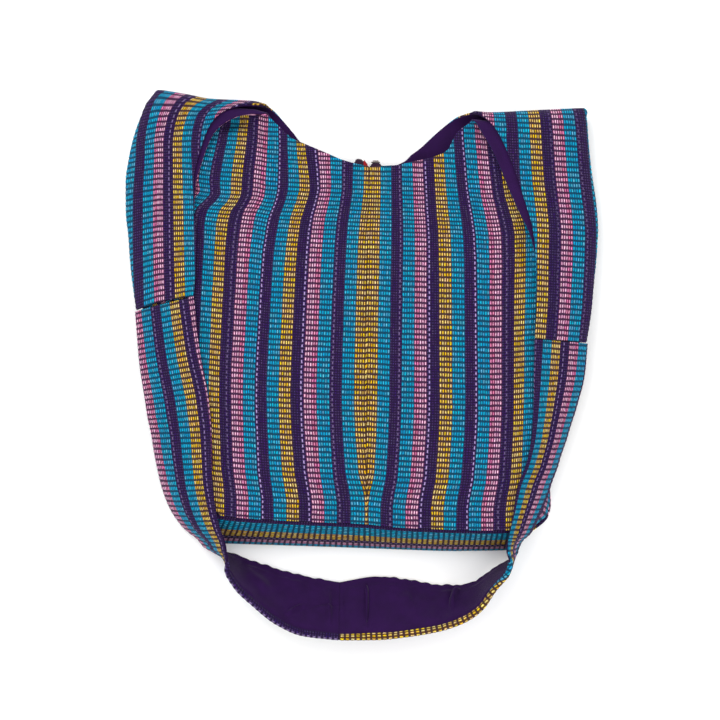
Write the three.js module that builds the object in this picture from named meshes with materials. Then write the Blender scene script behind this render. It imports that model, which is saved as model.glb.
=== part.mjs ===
import * as THREE from 'three';

// A cotton shoulder bag lying on its back, seen from +Z with its mouth towards +Y.
// Every piece is cloth: a surface worked out row by row, given its wall on both sides.

// Driving sizes, in millimetres
const BODY_WIDTH = 392; // across the bottom edge, as it lies
const BODY_LENGTH = 443; // from the bottom edge to the top fold
const GUSSET_DEPTH = 46; // height of the bag at its bottom seam
const CLOTH = 1.8; // woven cotton
const LINING = 1.0; // plain lining cotton
const TAPE = 0.8; // zip tape
const GAP = 0.3; // between pieces that are sewn together
const STRAP_WIDTH = 66;
const EAR_LENGTH_LEFT = 222; // from the top fold to the seam with the strap
const EAR_LENGTH_RIGHT = 236;
const LOOP_DROP = 88; // how far the loop of the strap passes the bottom edge
const FRONT_FOLD_DROP = 10.5; // the front layer folds this far inside the back layer
const FRONT_FOLD_RISE = 9; // height of the front layer's fold
const FLAP_REST = 3; // height of the folded front layer over the front panel, once it lies flat
const FLAP_SETTLE = 65; // length over which it settles
const EAR_CLEAR = 4.2; // back layer of the ear over the front layer, with the lining between
const EAR_LOFT = 0.9; // and this much more at the fold
const EAR_INSET = 8; // the front layer's outer edge inside the back layer's
const SHOW_LEFT = 2.5; // lining of the ear that shows beside its inner edge
const SHOW_RIGHT = 12;
const EDGE_ROLL = 4; // radius of the rolled outer edge of an ear
const STRAP_REST = 4.4; // the strap over the front panel
const LOOP_FLOOR = 2.6; // the loop's lower edge over the floor
const MOUTH_LINING = 0.72; // the lining is seen from here up, as a share of the body's length
const ZIP_LENGTH = 104;
const ZIP_CHAIN = 3.4;
const ZIP_HUMP = 9.3; // how far the closed zip bulges out of the mouth
const ZIP_RECESS = 3; // the rest of the zip lies this far inside the mouth
const SLIDER_LENGTH = 9;
const SLIDER_WIDTH = 6.5;
const SLIDER_THICK = 2.6;
const TAPE_SEWN = 12; // the tapes are sewn in this far below the mouth's edge
const TAPE_BEND_OUT = 0.6; // where a tape bends, as a share of its width
const TAPE_BEND_IN = 0.12;
const GUSSET_UNDER = 1.6; // gusset below the front panel's middle
const GUSSET_OVER = 2.7; // and over the floor
const STRAP_SEAM = 0.45; // from the end of an ear to its strap
const LINING_COLUMNS = 5; // columns of a panel that its lining covers, from the middle
const LINING_END = 3; // rows at the end of a folded ear that it leaves out
const LINING_PAST_FOLD = 3; // rows that the back lining goes on past the top fold

const HALF = BODY_WIDTH / 2;
const LEFT = -1;
const RIGHT = 1;
const SIDE_NAME = { [LEFT]: 'left', [RIGHT]: 'right' };
const EAR_LENGTH = { [LEFT]: EAR_LENGTH_LEFT, [RIGHT]: EAR_LENGTH_RIGHT };
const SHOW = { [LEFT]: SHOW_LEFT, [RIGHT]: SHOW_RIGHT };

// In the tables, up is a share of the body's length and across a share of half its width.

// The top fold, from the left corner to the right one
const FOLD = [
  { across: -1.045, up: 1.041 },
  { across: -0.9, up: 1.03 },
  { across: -0.78, up: 1.02 },
  { across: -0.56, up: 1.015 },
  { across: -0.48, up: 1.007 },
  { across: 0.57, up: 0.992 },
  { across: 0.65, up: 0.989 },
  { across: 0.85, up: 0.993 },
  { across: 1.15, up: 1.0 },
];

// The lower seam of the front panel
const LOWER_SEAM = [
  { across: -0.8, up: 0.085 },
  { across: -0.63, up: 0.0745 },
  { across: -0.24, up: 0.0655 },
  { across: 0, up: 0.061 },
  { across: 0.19, up: 0.053 },
  { across: 0.7, up: 0.046 },
  { across: 0.85, up: 0.052 },
];

// Each side of the body: where the back lies on the floor and where the front's side seam is
const SIDES = [
  { up: 0, floor_left: 0.8, floor_right: 0.74, seam_left: 0.72, seam_right: 0.75 },
  { up: 0.03, floor_left: 0.86, floor_right: 0.845, seam_left: 0.79, seam_right: 0.8 },
  { up: 0.07, floor_left: 0.935, floor_right: 0.96, seam_left: 0.84, seam_right: 0.83 },
  { up: 0.1, floor_left: 0.99, floor_right: 0.975, seam_left: 0.87, seam_right: 0.845 },
  { up: 0.14, floor_left: 1.025, floor_right: 0.97, seam_left: 0.895, seam_right: 0.85 },
  { up: 0.22, floor_left: 1.05, floor_right: 0.985, seam_left: 0.92, seam_right: 0.865 },
  { up: 0.4, floor_left: 1.08, floor_right: 1.03, seam_left: 0.95, seam_right: 0.91 },
  { up: 0.6, floor_left: 1.09, floor_right: 1.09, seam_left: 0.965, seam_right: 0.97 },
  { up: 0.8, floor_left: 1.08, floor_right: 1.125, seam_left: 0.975, seam_right: 1.02 },
  { up: 1, floor_left: 1.044, floor_right: 1.15, seam_left: 1.0, seam_right: 1.1 },
];

// Height of the front panel as a share of the gusset's depth
const HEIGHTS = [
  { up: 0.05, middle: 1, side: 0.9 },
  { up: 0.12, middle: 1.04, side: 0.82 },
  { up: 0.3, middle: 0.88, side: 0.72 },
  { up: 0.5, middle: 0.68, side: 0.62 },
  { up: 0.7, middle: 0.52, side: 0.52 },
  { up: 0.85, middle: 0.43, side: 0.46 },
  { up: 1, middle: 0.42, side: 0.42 },
];

// The mouth's edge: distance from the middle on each side
const BACK_MOUTH = [
  { up: 0.862, left: -0.02, right: 0.02 },
  { up: 0.87, left: 0.06, right: 0.14 },
  { up: 0.885, left: 0.13, right: 0.24 },
  { up: 0.9, left: 0.21, right: 0.285 },
  { up: 0.915, left: 0.3, right: 0.32 },
  { up: 0.945, left: 0.36, right: 0.395 },
  { up: 0.975, left: 0.42, right: 0.475 },
  { up: 0.99, left: 0.455, right: 0.525 },
  { up: 1, left: 0.492, right: 0.569 },
];
const FRONT_MOUTH = [
  { up: 0.883, left: -0.02, right: 0.02 },
  { up: 0.887, left: 0.03, right: 0.145 },
  { up: 0.8955, left: 0.095, right: 0.235 },
  { up: 0.912, left: 0.18, right: 0.37 },
  { up: 0.93, left: 0.275, right: 0.437 },
  { up: 0.948, left: 0.365, right: 0.457 },
  { up: 0.973, left: 0.425, right: 0.485 },
  { up: 1, left: 0.485, right: 0.557 },
];

// Each ear, from the top fold to the strap: along and drop are shares of the ear's length,
// inner is where its inner edge is, wide is a share of the strap's width,
// and show a share of the lining that shows
const EARS = {
  [LEFT]: [
    { along: 0, inner: 0.492, drop: 0, wide: 1.64, show: 0.2 },
    { along: 0.03, inner: 0.543, drop: 0.015, wide: 1.545, show: 0.4 },
    { along: 0.06, inner: 0.61, drop: 0.0225, wide: 1.41, show: 0.7 },
    { along: 0.12, inner: 0.696, drop: 0.052, wide: 1.235, show: 1 },
    { along: 0.2, inner: 0.773, drop: 0.117, wide: 1.11, show: 1 },
    { along: 0.3, inner: 0.827, drop: 0.239, wide: 1.05, show: 0.9 },
    { along: 0.42, inner: 0.86, drop: 0.374, wide: 1.03, show: 0.5 },
    { along: 0.55, inner: 0.862, drop: 0.491, wide: 1.04, show: 0 },
    { along: 0.7, inner: 0.85, drop: 0.633, wide: 1.045, show: -0.4 },
    { along: 0.85, inner: 0.85, drop: 0.768, wide: 1, show: -0.6 },
    { along: 1, inner: 0.86, drop: 0.905, wide: 0.9, show: -0.6 },
  ],
  [RIGHT]: [
    { along: 0, inner: 0.569, drop: 0, wide: 1.727, show: 0.2 },
    { along: 0.03, inner: 0.599, drop: 0.009, wide: 1.644, show: 0.4 },
    { along: 0.06, inner: 0.625, drop: 0.024, wide: 1.576, show: 0.7 },
    { along: 0.12, inner: 0.681, drop: 0.078, wide: 1.424, show: 1 },
    { along: 0.2, inner: 0.732, drop: 0.161, wide: 1.3, show: 1 },
    { along: 0.3, inner: 0.783, drop: 0.265, wide: 1.197, show: 1 },
    { along: 0.42, inner: 0.829, drop: 0.386, wide: 1.12, show: 0.9 },
    { along: 0.55, inner: 0.87, drop: 0.515, wide: 1.015, show: 0.45 },
    { along: 0.7, inner: 0.885, drop: 0.665, wide: 0.924, show: -0.2 },
    { along: 0.85, inner: 0.885, drop: 0.822, wide: 0.871, show: -0.3 },
    { along: 1, inner: 0.875, drop: 0.97, wide: 0.818, show: -0.3 },
  ],
};

// Each strap by its inner edge: run is 0 at the ear, 1 at the bottom edge and 2 at the end of
// the loop's drop. over, ahead and rise lead to the other edge, as shares of the strap's width,
// hold is 1 where it lies on the bag and 0 where it stands on the floor,
// and droop is how far its outer edge hangs, as a share of the gusset's depth.
const STRAPS = {
  [LEFT]: [
    { run: 0, inner: 0.86, over: 0.9, ahead: -0.227, hold: 1, rise: 0.5, droop: 0.26, reach: 0.35 },
    { run: 0.21, inner: 0.829, over: 0.93, ahead: -0.18, hold: 1, rise: 0.5, droop: 0.27, reach: 0.35 },
    { run: 0.41, inner: 0.781, over: 0.97, ahead: -0.12, hold: 1, rise: 0.5, droop: 0.32, reach: 0.35 },
    { run: 0.57, inner: 0.765, over: 0.925, ahead: -0.02, hold: 1, rise: 0.5, droop: 0.42, reach: 0.4 },
    { run: 0.705, inner: 0.763, over: 0.833, ahead: -0.045, hold: 1, rise: 0.6, droop: 0.55, reach: 0.5 },
    { run: 0.823, inner: 0.747, over: 0.742, ahead: -0.03, hold: 1, rise: 0.7, droop: 0.7, reach: 0.6 },
    { run: 0.913, inner: 0.722, over: 0.606, ahead: -0.015, hold: 0.85, rise: 0.75, droop: 0.85, reach: 0.7 },
    { run: 0.98, inner: 0.696, over: 0.42, ahead: 0, hold: 0.5, rise: 0.8, droop: 0.9, reach: 0.8 },
    { run: 1.09, inner: 0.686, over: 0.212, ahead: 0.03, hold: 0.15, rise: 0.84, droop: 0.9, reach: 0.9 },
    { run: 1.205, inner: 0.691, over: 0.015, ahead: 0.18, hold: 0, rise: 0.84, droop: 0.9, reach: 0.9 },
    { run: 1.4, inner: 0.645, over: -0.06, ahead: 0.38, hold: 0, rise: 0.78, droop: 0.9, reach: 0.9 },
    { run: 1.6, inner: 0.554, over: -0.03, ahead: 0.56, hold: 0, rise: 0.74, droop: 0.9, reach: 0.9 },
    { run: 1.81, inner: 0.436, over: -0.045, ahead: 0.727, hold: 0, rise: 0.69, droop: 0.9, reach: 0.9 },
    { run: 1.94, inner: 0.304, over: -0.03, ahead: 0.81, hold: 0, rise: 0.65, droop: 0.9, reach: 0.9 },
    { run: 1.99, inner: 0.12, over: 0, ahead: 0.78, hold: 0, rise: 0.63, droop: 0.9, reach: 0.9 },
  ],
  [RIGHT]: [
    { run: 0, inner: 0.875, over: 0.818, ahead: -0.07, hold: 1, rise: 0.5, droop: 0.26, reach: 0.35 },
    { run: 0.17, inner: 0.872, over: 0.78, ahead: -0.02, hold: 1, rise: 0.5, droop: 0.27, reach: 0.35 },
    { run: 0.31, inner: 0.87, over: 0.68, ahead: 0, hold: 1, rise: 0.5, droop: 0.32, reach: 0.35 },
    { run: 0.45, inner: 0.862, over: 0.57, ahead: 0, hold: 1, rise: 0.5, droop: 0.42, reach: 0.4 },
    { run: 0.585, inner: 0.834, over: 0.515, ahead: -0.01, hold: 1, rise: 0.6, droop: 0.52, reach: 0.5 },
    { run: 0.7, inner: 0.788, over: 0.515, ahead: -0.03, hold: 1, rise: 0.7, droop: 0.5, reach: 0.55 },
    { run: 0.82, inner: 0.765, over: 0.43, ahead: -0.01, hold: 1, rise: 0.75, droop: 0.36, reach: 0.65 },
    { run: 0.915, inner: 0.745, over: 0.36, ahead: 0, hold: 1, rise: 0.8, droop: 0.5, reach: 0.8 },
    { run: 0.99, inner: 0.727, over: 0.24, ahead: -0.01, hold: 0.5, rise: 0.84, droop: 0.9, reach: 0.9 },
    { run: 1.14, inner: 0.732, over: 0.04, ahead: 0.09, hold: 0.12, rise: 0.84, droop: 0.9, reach: 0.9 },
    { run: 1.25, inner: 0.756, over: -0.18, ahead: 0.14, hold: 0, rise: 0.82, droop: 0.9, reach: 0.9 },
    { run: 1.43, inner: 0.697, over: -0.13, ahead: 0.18, hold: 0, rise: 0.78, droop: 0.9, reach: 0.9 },
    { run: 1.64, inner: 0.62, over: -0.09, ahead: 0.32, hold: 0, rise: 0.74, droop: 0.9, reach: 0.9 },
    { run: 1.78, inner: 0.523, over: -0.105, ahead: 0.46, hold: 0, rise: 0.71, droop: 0.9, reach: 0.9 },
    { run: 1.89, inner: 0.385, over: -0.09, ahead: 0.62, hold: 0, rise: 0.68, droop: 0.9, reach: 0.9 },
    { run: 1.95, inner: 0.232, over: -0.045, ahead: 0.78, hold: 0, rise: 0.65, droop: 0.9, reach: 0.9 },
    { run: 1.985, inner: 0.069, over: -0.01, ahead: 0.86, hold: 0, rise: 0.64, droop: 0.9, reach: 0.9 },
    { run: 1.99, inner: -0.12, over: 0, ahead: 0.78, hold: 0, rise: 0.63, droop: 0.9, reach: 0.9 },
  ],
};
const LOOP_CURVE = 1.25; // above 1, the standing strap is flatter near the floor

// The gusset's section from the front seam to the floor: shares of its slope and of its height
const GUSSET_SECTION = [
  { out: 0.01, down: 0 },
  { out: 0.2, down: 0.12 },
  { out: 0.44, down: 0.34 },
  { out: 0.64, down: 0.56 },
  { out: 0.8, down: 0.79 },
  { out: 0.93, down: 1 },
];

// Two humps of the zip at the middle of the mouth, from the centre seam, in shares of its length
const ZIP_HUMPS = [
  { at: -0.067, width: 0.055, high: 1 },
  { at: 0.092, width: 0.055, high: 0.63 },
];

const lerp = THREE.MathUtils.lerp;
const clamp = THREE.MathUtils.clamp;
const smoothstep = THREE.MathUtils.smoothstep;

// A smooth curve through one column of a table, with no overshoot between its rows
function read(table, key, at, column) {
  const last = table.length - 1;
  if (at <= table[0][key]) return table[0][column];
  if (at >= table[last][key]) return table[last][column];
  let i = 0;
  while (table[i + 1][key] < at) i += 1;
  const step = (j) => (table[j + 1][column] - table[j][column]) / (table[j + 1][key] - table[j][key]);
  const slope = (j) => {
    if (j === 0) return step(0);
    if (j === last) return step(last - 1);
    const before = step(j - 1);
    const after = step(j);
    return before * after <= 0 ? 0 : (2 * before * after) / (before + after);
  };
  const span = table[i + 1][key] - table[i][key];
  const t = (at - table[i][key]) / span;
  const rest = 1 - t;
  return (1 + 2 * t) * rest * rest * table[i][column] + t * rest * rest * span * slope(i)
    + t * t * (3 - 2 * t) * table[i + 1][column] - t * t * rest * span * slope(i + 1);
}

const foldY = (x) => BODY_LENGTH * read(FOLD, 'across', x / HALF, 'up');
const lowerSeamY = (x) => BODY_LENGTH * read(LOWER_SEAM, 'across', x / HALF, 'up');
const frontFoldY = (x) => foldY(x) - FRONT_FOLD_DROP;
const sideX = (side, up, edge) => side * HALF * read(SIDES, 'up', up, `${edge}_${SIDE_NAME[side]}`);
const mouthX = (table, side, up) => side * HALF * read(table, 'up', up, SIDE_NAME[side]);
const mouthUp = (table, side, x) => read(table, SIDE_NAME[side], (side * x) / HALF, 'up');

// Height of the middle of the front panel's cloth over the floor
function frontZ(x, y) {
  const side = x < 0 ? LEFT : RIGHT;
  const up = y / foldY(x);
  const out = clamp(x / sideX(side, up, 'seam'), 0, 1);
  const share = lerp(read(HEIGHTS, 'up', up, 'middle'), read(HEIGHTS, 'up', up, 'side'), out ** 3);
  return GUSSET_DEPTH * share;
}

// A quarter round: 0 at the edge of a fold and 1 once it is radius deep
const round = (depth, radius) => {
  const left = 1 - clamp(depth / radius, 0, 1);
  return Math.sqrt(1 - left * left);
};

const FRONT_FOLD_RADIUS = FRONT_FOLD_RISE / 2;
const BACK_Z = CLOTH / 2;

// The front layer folded forward, and the back layer of the ear over it
function flapZ(x, y) {
  const depth = frontFoldY(x) - y;
  const settled = smoothstep(depth, FRONT_FOLD_RADIUS, FLAP_SETTLE);
  return frontZ(x, y) + lerp(FRONT_FOLD_RISE, FLAP_REST, settled);
}
function earZ(x, y) {
  const settled = smoothstep(foldY(x) - y, 0, FLAP_SETTLE);
  return flapZ(x, y) + EAR_CLEAR + lerp(EAR_LOFT, 0, settled);
}
const foldTopZ = (x) => earZ(x, foldY(x) - FRONT_FOLD_DROP);
const foldMiddleZ = (x) => (BACK_Z + foldTopZ(x)) / 2;
const foldRadius = (x) => foldMiddleZ(x) - BACK_Z;

// How far an outer edge hangs, by its distance from that edge
const droopAt = (inside, reach, depth) => depth * Math.max(0, 1 - inside / reach) ** 2;
const EAR_DROOP = STRAPS[LEFT][0].droop * GUSSET_DEPTH;
const EAR_REACH = STRAPS[LEFT][0].reach * STRAP_WIDTH;

// Grids of points: each row runs from -X to +X

const BODY_COLUMNS = [0, 0.15, 0.31, 0.47, 0.63, 0.78, 0.9, 1];
const BACK_COLUMNS = [0, 0.16, 0.32, 0.48, 0.64, 0.78, 0.89];
const ROLL_TURNS = [0.25, 0.9, 1.9]; // how far round the rolled edge each last column is
const SIDE_ROWS = [0, 0.03, 0.07, 0.1, 0.14, 0.2, 0.28, 0.36, 0.45, 0.54, 0.63, 0.72, 0.8, 0.85];
const FLAT_BACK_ROWS = [0, 0.03, 0.07, 0.1, 0.14, 0.26, 0.42, 0.58, 0.72, 0.8];
const EAR_ROWS = [0.12, 0.2, 0.3, 0.42, 0.55, 0.7, 0.85, 1];
const FOLD_TURNS = [67.5, 45, 22.5];

const depthAt = (degrees, radius) => radius * (1 - Math.cos(THREE.MathUtils.degToRad(degrees)));

function fromLeft(side, row) {
  return side === LEFT ? row.slice().reverse() : row;
}

// Where an ear's row lies in plan: share 0 at the inner edge, 1 at the outer edge
function earPlan(side, along, share, innerBy, outerBy, top, length) {
  const table = EARS[side];
  const innerX = side * (read(table, 'along', along, 'inner') * HALF);
  const outerX = innerX + side * STRAP_WIDTH * read(table, 'along', along, 'wide');
  const x = lerp(innerX - side * innerBy, outerX - side * outerBy, share);
  const drop = lerp(read(table, 'along', along, 'drop'), along, share);
  return { x, y: top(x) - drop * length, inside: Math.abs(outerX - x) };
}

function frontGrid(side) {
  const rows = [];
  const bodyRow = (up) => {
    const inner = up < FRONT_MOUTH[0].up ? HALF * FRONT_MOUTH[0].right + (side * GAP) / 2
      : mouthX(FRONT_MOUTH, side, up) + (side * GAP) / 2;
    const outer = sideX(side, up, 'seam');
    return BODY_COLUMNS.map((share) => {
      const x = lerp(inner, outer, share);
      const y = lerp(lowerSeamY(x), frontFoldY(x), up);
      const depth = frontFoldY(x) - y;
      const rise = FRONT_FOLD_RADIUS * (1 - round(depth, FRONT_FOLD_RADIUS));
      return new THREE.Vector3(x, y, frontZ(x, y) + rise);
    });
  };
  const foldLength = BODY_LENGTH * (FOLD[0].up - LOWER_SEAM[0].up);
  const turns = [90, ...FOLD_TURNS, 0];
  const folds = turns.map((turn) => 1 - depthAt(turn, FRONT_FOLD_RADIUS) / foldLength);
  const ups = [...SIDE_ROWS, ...FRONT_MOUTH.slice(0, -1).map((row) => row.up), ...folds];
  ups.forEach((up) => rows.push(bodyRow(up)));
  const length = EAR_LENGTH[side] - FRONT_FOLD_DROP;
  const alongs = turns.reverse().slice(1).map((turn) => depthAt(turn, FRONT_FOLD_RADIUS) / length);
  [...alongs, 0.06, ...EAR_ROWS].forEach((along) => {
    const show = read(EARS[side], 'along', along, 'show') * SHOW[side];
    rows.push(BODY_COLUMNS.map((share) => {
      const { x, y, inside } = earPlan(side, along, share, show, EAR_INSET, frontFoldY, length);
      const turned = round(frontFoldY(x) - y, FRONT_FOLD_RADIUS);
      const middle = frontZ(x, y) + FRONT_FOLD_RADIUS;
      const hang = droopAt(inside, EAR_REACH, EAR_DROOP) * turned;
      return new THREE.Vector3(x, y, lerp(middle, flapZ(x, y), turned) - hang);
    }));
  });
  return { points: rows.map((row) => fromLeft(side, row)), foldRow: ups.length - 1, ups };
}

function backGrid(side) {
  const rows = [];
  const rolls = [];
  const shares = [...BACK_COLUMNS, 0.96, 0.98, 1];
  const bodyRow = (up) => {
    const inner = up < BACK_MOUTH[0].up ? HALF * BACK_MOUTH[0].right + (side * GAP) / 2
      : mouthX(BACK_MOUTH, side, up) + (side * GAP) / 2;
    const outer = sideX(side, up, 'floor');
    return shares.map((share) => {
      const x = lerp(inner, outer, share);
      const y = up * foldY(x);
      const radius = foldRadius(x);
      return new THREE.Vector3(x, y, BACK_Z + radius * (1 - round(foldY(x) - y, radius)));
    });
  };
  const radius = foldRadius(side * HALF);
  const folds = [90, ...FOLD_TURNS, 0].map((turn) => 1 - depthAt(turn, radius) / foldY(side * HALF));
  const mouths = BACK_MOUTH.map((row) => row.up).filter((up) => up < folds[0] - 0.01);
  const ups = [...FLAT_BACK_ROWS, ...mouths, ...folds];
  ups.forEach((up) => {
    rows.push(bodyRow(up));
    rolls.push(smoothstep(up, folds[0], 1));
  });
  const length = EAR_LENGTH[side];
  const alongs = [...FOLD_TURNS.slice().reverse(), 90].map((turn) => depthAt(turn, radius) / length);
  [...alongs, ...EAR_ROWS].forEach((along) => {
    rows.push(shares.map((share) => {
      const { x, y, inside } = earPlan(side, along, share, 0, 0, foldY, length);
      const turned = round(foldY(x) - y, foldRadius(x));
      const hang = droopAt(inside, EAR_REACH, EAR_DROOP) * turned;
      return new THREE.Vector3(x, y, lerp(foldMiddleZ(x), earZ(x, y), turned) - hang);
    }));
    rolls.push(1);
  });
  rollEdge(side, rows, rolls);
  return { points: rows.map((row) => fromLeft(side, row)), foldRow: ups.length - 1, ups };
}

// Rolls the last columns of each row round a small radius, towards the inside of the fold
function rollEdge(side, rows, amounts) {
  const straight = rows.map((row) => row.map((point) => point.clone()));
  const last = straight[0].length - 1;
  rows.forEach((row, i) => {
    const start = last - ROLL_TURNS.length;
    const before = straight[Math.max(i - 1, 0)][start];
    const after = straight[Math.min(i + 1, rows.length - 1)][start];
    const outward = straight[i][last].clone().sub(straight[i][start]).normalize();
    const inward = outward.clone().cross(after.clone().sub(before)).multiplyScalar(side).normalize();
    ROLL_TURNS.forEach((turn, k) => {
      const rolled = straight[i][last].clone()
        .addScaledVector(outward, EDGE_ROLL * (Math.sin(turn) - 1))
        .addScaledVector(inward, EDGE_ROLL * (1 - Math.cos(turn)));
      row[start + 1 + k].lerp(rolled, amounts[i]);
    });
  });
}

const STRAP_COLUMNS = [0, 0.18, 0.4, 0.62, 0.83, 1];

function strapGrid(side) {
  const table = STRAPS[side];
  const end = earPlan(side, 1, 0, 0, 0, foldY, EAR_LENGTH[side]);
  const startY = end.y - STRAP_SEAM;
  const rows = [];
  const last = table.length - 1;
  const runs = [];
  table.forEach((row, i) => {
    runs.push(row.run);
    if (i < last) runs.push((row.run + table[i + 1].run) / 2);
  });
  const keyed = table.map((row, i) => ({ ...row, index: i }));
  runs.forEach((run, k) => {
    const at = (column) => read(keyed, 'index', k / 2, column);
    const length = at('run');
    const innerX = side * HALF * at('inner');
    const innerY = length < 1 ? lerp(startY, 0, length) : -(length - 1) * LOOP_DROP;
    const seamGap = k === runs.length - 1 ? side * GAP : 0;
    const settle = smoothstep(length, 0, table[2].run);
    const rest = lerp(FLAP_REST + EAR_CLEAR, STRAP_REST, settle);
    rows.push(STRAP_COLUMNS.map((share) => {
      const x = innerX + side * STRAP_WIDTH * at('over') * share + seamGap;
      const y = innerY + STRAP_WIDTH * at('ahead') * share;
      const inside = (1 - share) * STRAP_WIDTH;
      const hang = droopAt(inside, at('reach') * STRAP_WIDTH, at('droop') * GUSSET_DEPTH);
      const lying = frontZ(x, y) + rest - hang;
      const standing = LOOP_FLOOR + STRAP_WIDTH * at('rise') * (1 - share) ** LOOP_CURVE;
      return new THREE.Vector3(x, y, lerp(standing, lying, at('hold')));
    }));
  });
  return { points: rows.map((row) => fromLeft(side, row)) };
}

// The gusset, from the top of the left side round the bottom to the top of the right side
function gussetGrid() {
  const sideRows = SIDE_ROWS.filter((up) => up > 0);
  const stations = [];
  const along = (side, up) => {
    const seamX = sideX(side, up, 'seam');
    const floorX = sideX(side, up, 'floor');
    return {
      seam: new THREE.Vector2(seamX, lerp(lowerSeamY(seamX), frontFoldY(seamX), up)),
      floor: new THREE.Vector2(floorX, up * foldY(floorX)),
    };
  };
  sideRows.slice().reverse().forEach((up) => stations.push(along(LEFT, up)));
  const leftEnd = stations.length - 1;
  const bottom = BODY_COLUMNS.slice().reverse();
  [[LEFT, bottom], [RIGHT, BODY_COLUMNS.slice(1)]].forEach(([side, shares]) => shares.forEach((share) => {
    const middle = HALF * FRONT_MOUTH[0].right;
    const seamX = lerp(middle, sideX(side, 0, 'seam'), share);
    const floorX = lerp(middle, sideX(side, 0, 'floor'), share);
    stations.push({
      seam: new THREE.Vector2(seamX, lowerSeamY(seamX)),
      floor: new THREE.Vector2(floorX, 0),
    });
  }));
  const rightStart = stations.length;
  sideRows.forEach((up) => stations.push(along(RIGHT, up)));
  // At each lower corner two rows lie a gap apart, so that the sides are pieces of their own
  const split = (from, to) => [-0.5, 0.5].map((step) => {
    const share = 0.5 + (step * GAP) / from.seam.distanceTo(to.seam);
    return {
      seam: from.seam.clone().lerp(to.seam, share),
      floor: from.floor.clone().lerp(to.floor, share),
    };
  });
  stations.splice(rightStart, 0, ...split(stations[rightStart - 1], stations[rightStart]));
  stations.splice(leftEnd + 1, 0, ...split(stations[leftEnd], stations[leftEnd + 1]));
  const points = stations.map(({ seam, floor }) => {
    const top = frontZ(seam.x, seam.y) - GUSSET_UNDER - GAP;
    const low = GUSSET_OVER + GAP;
    return GUSSET_SECTION.map(({ out, down }) => new THREE.Vector3(
      lerp(seam.x, floor.x, out),
      lerp(seam.y, floor.y, out),
      lerp(top, low, down),
    ));
  });
  return { points, leftLast: leftEnd + 1, rightFirst: rightStart + 3 };
}

// The closed zip across the middle of the mouth
function zipStation(share) {
  const seamX = HALF * FRONT_MOUTH[0].right;
  const x = seamX + (share - 0.5) * ZIP_LENGTH;
  const side = x < seamX ? LEFT : RIGHT;
  const frontUp = mouthUp(FRONT_MOUTH, side, x);
  const mouthY = lerp(lowerSeamY(x), frontFoldY(x), frontUp);
  const hump = ZIP_HUMPS.reduce((sum, { at, width, high }) => (
    sum + high * Math.exp(-(((share - 0.5 - at) / width) ** 2))
  ), 0);
  const front = frontZ(x, mouthY) - CLOTH / 2 - 2 * GAP - LINING - TAPE / 2;
  const back = CLOTH + 2 * GAP + LINING + TAPE / 2;
  return { x, mouthY, out: mouthY - ZIP_RECESS + ZIP_HUMP * Math.min(1, hump), front, back };
}
const ZIP_STEPS = 20;
const zipShares = Array.from({ length: ZIP_STEPS + 1 }, (_, i) => i / ZIP_STEPS);

function zipTapeGrid(isFront) {
  const points = zipShares.map((share) => {
    const { x, mouthY, out, front, back } = zipStation(share);
    const middle = (front + back) / 2;
    const reach = ZIP_CHAIN / 2 + 2 * GAP;
    const edge = isFront ? front : back;
    const end = isFront ? middle + reach : middle - reach;
    const sewnY = mouthY - TAPE_SEWN;
    return [
      new THREE.Vector3(x, sewnY, edge),
      new THREE.Vector3(x, lerp(sewnY, out, TAPE_BEND_OUT), lerp(edge, end, TAPE_BEND_IN)),
      new THREE.Vector3(x, out, end),
    ];
  });
  return { points: points.map((row) => (isFront ? row : row.reverse())) };
}

function zipChainGrid() {
  const points = zipShares.map((share) => {
    const { x, out, front, back } = zipStation(share);
    const middle = (front + back) / 2;
    return [
      new THREE.Vector3(x, out, middle + ZIP_CHAIN / 2),
      new THREE.Vector3(x, out, middle - ZIP_CHAIN / 2),
    ];
  });
  return { points };
}

// The normal at each point of a grid
function normalsOf(points) {
  const lastRow = points.length - 1;
  const lastColumn = points[0].length - 1;
  return points.map((row, i) => row.map((_, j) => {
    const across = row[Math.min(j + 1, lastColumn)].clone().sub(row[Math.max(j - 1, 0)]);
    const along = points[Math.min(i + 1, lastRow)][j].clone().sub(points[Math.max(i - 1, 0)][j]);
    return across.cross(along).normalize();
  }));
}

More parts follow.
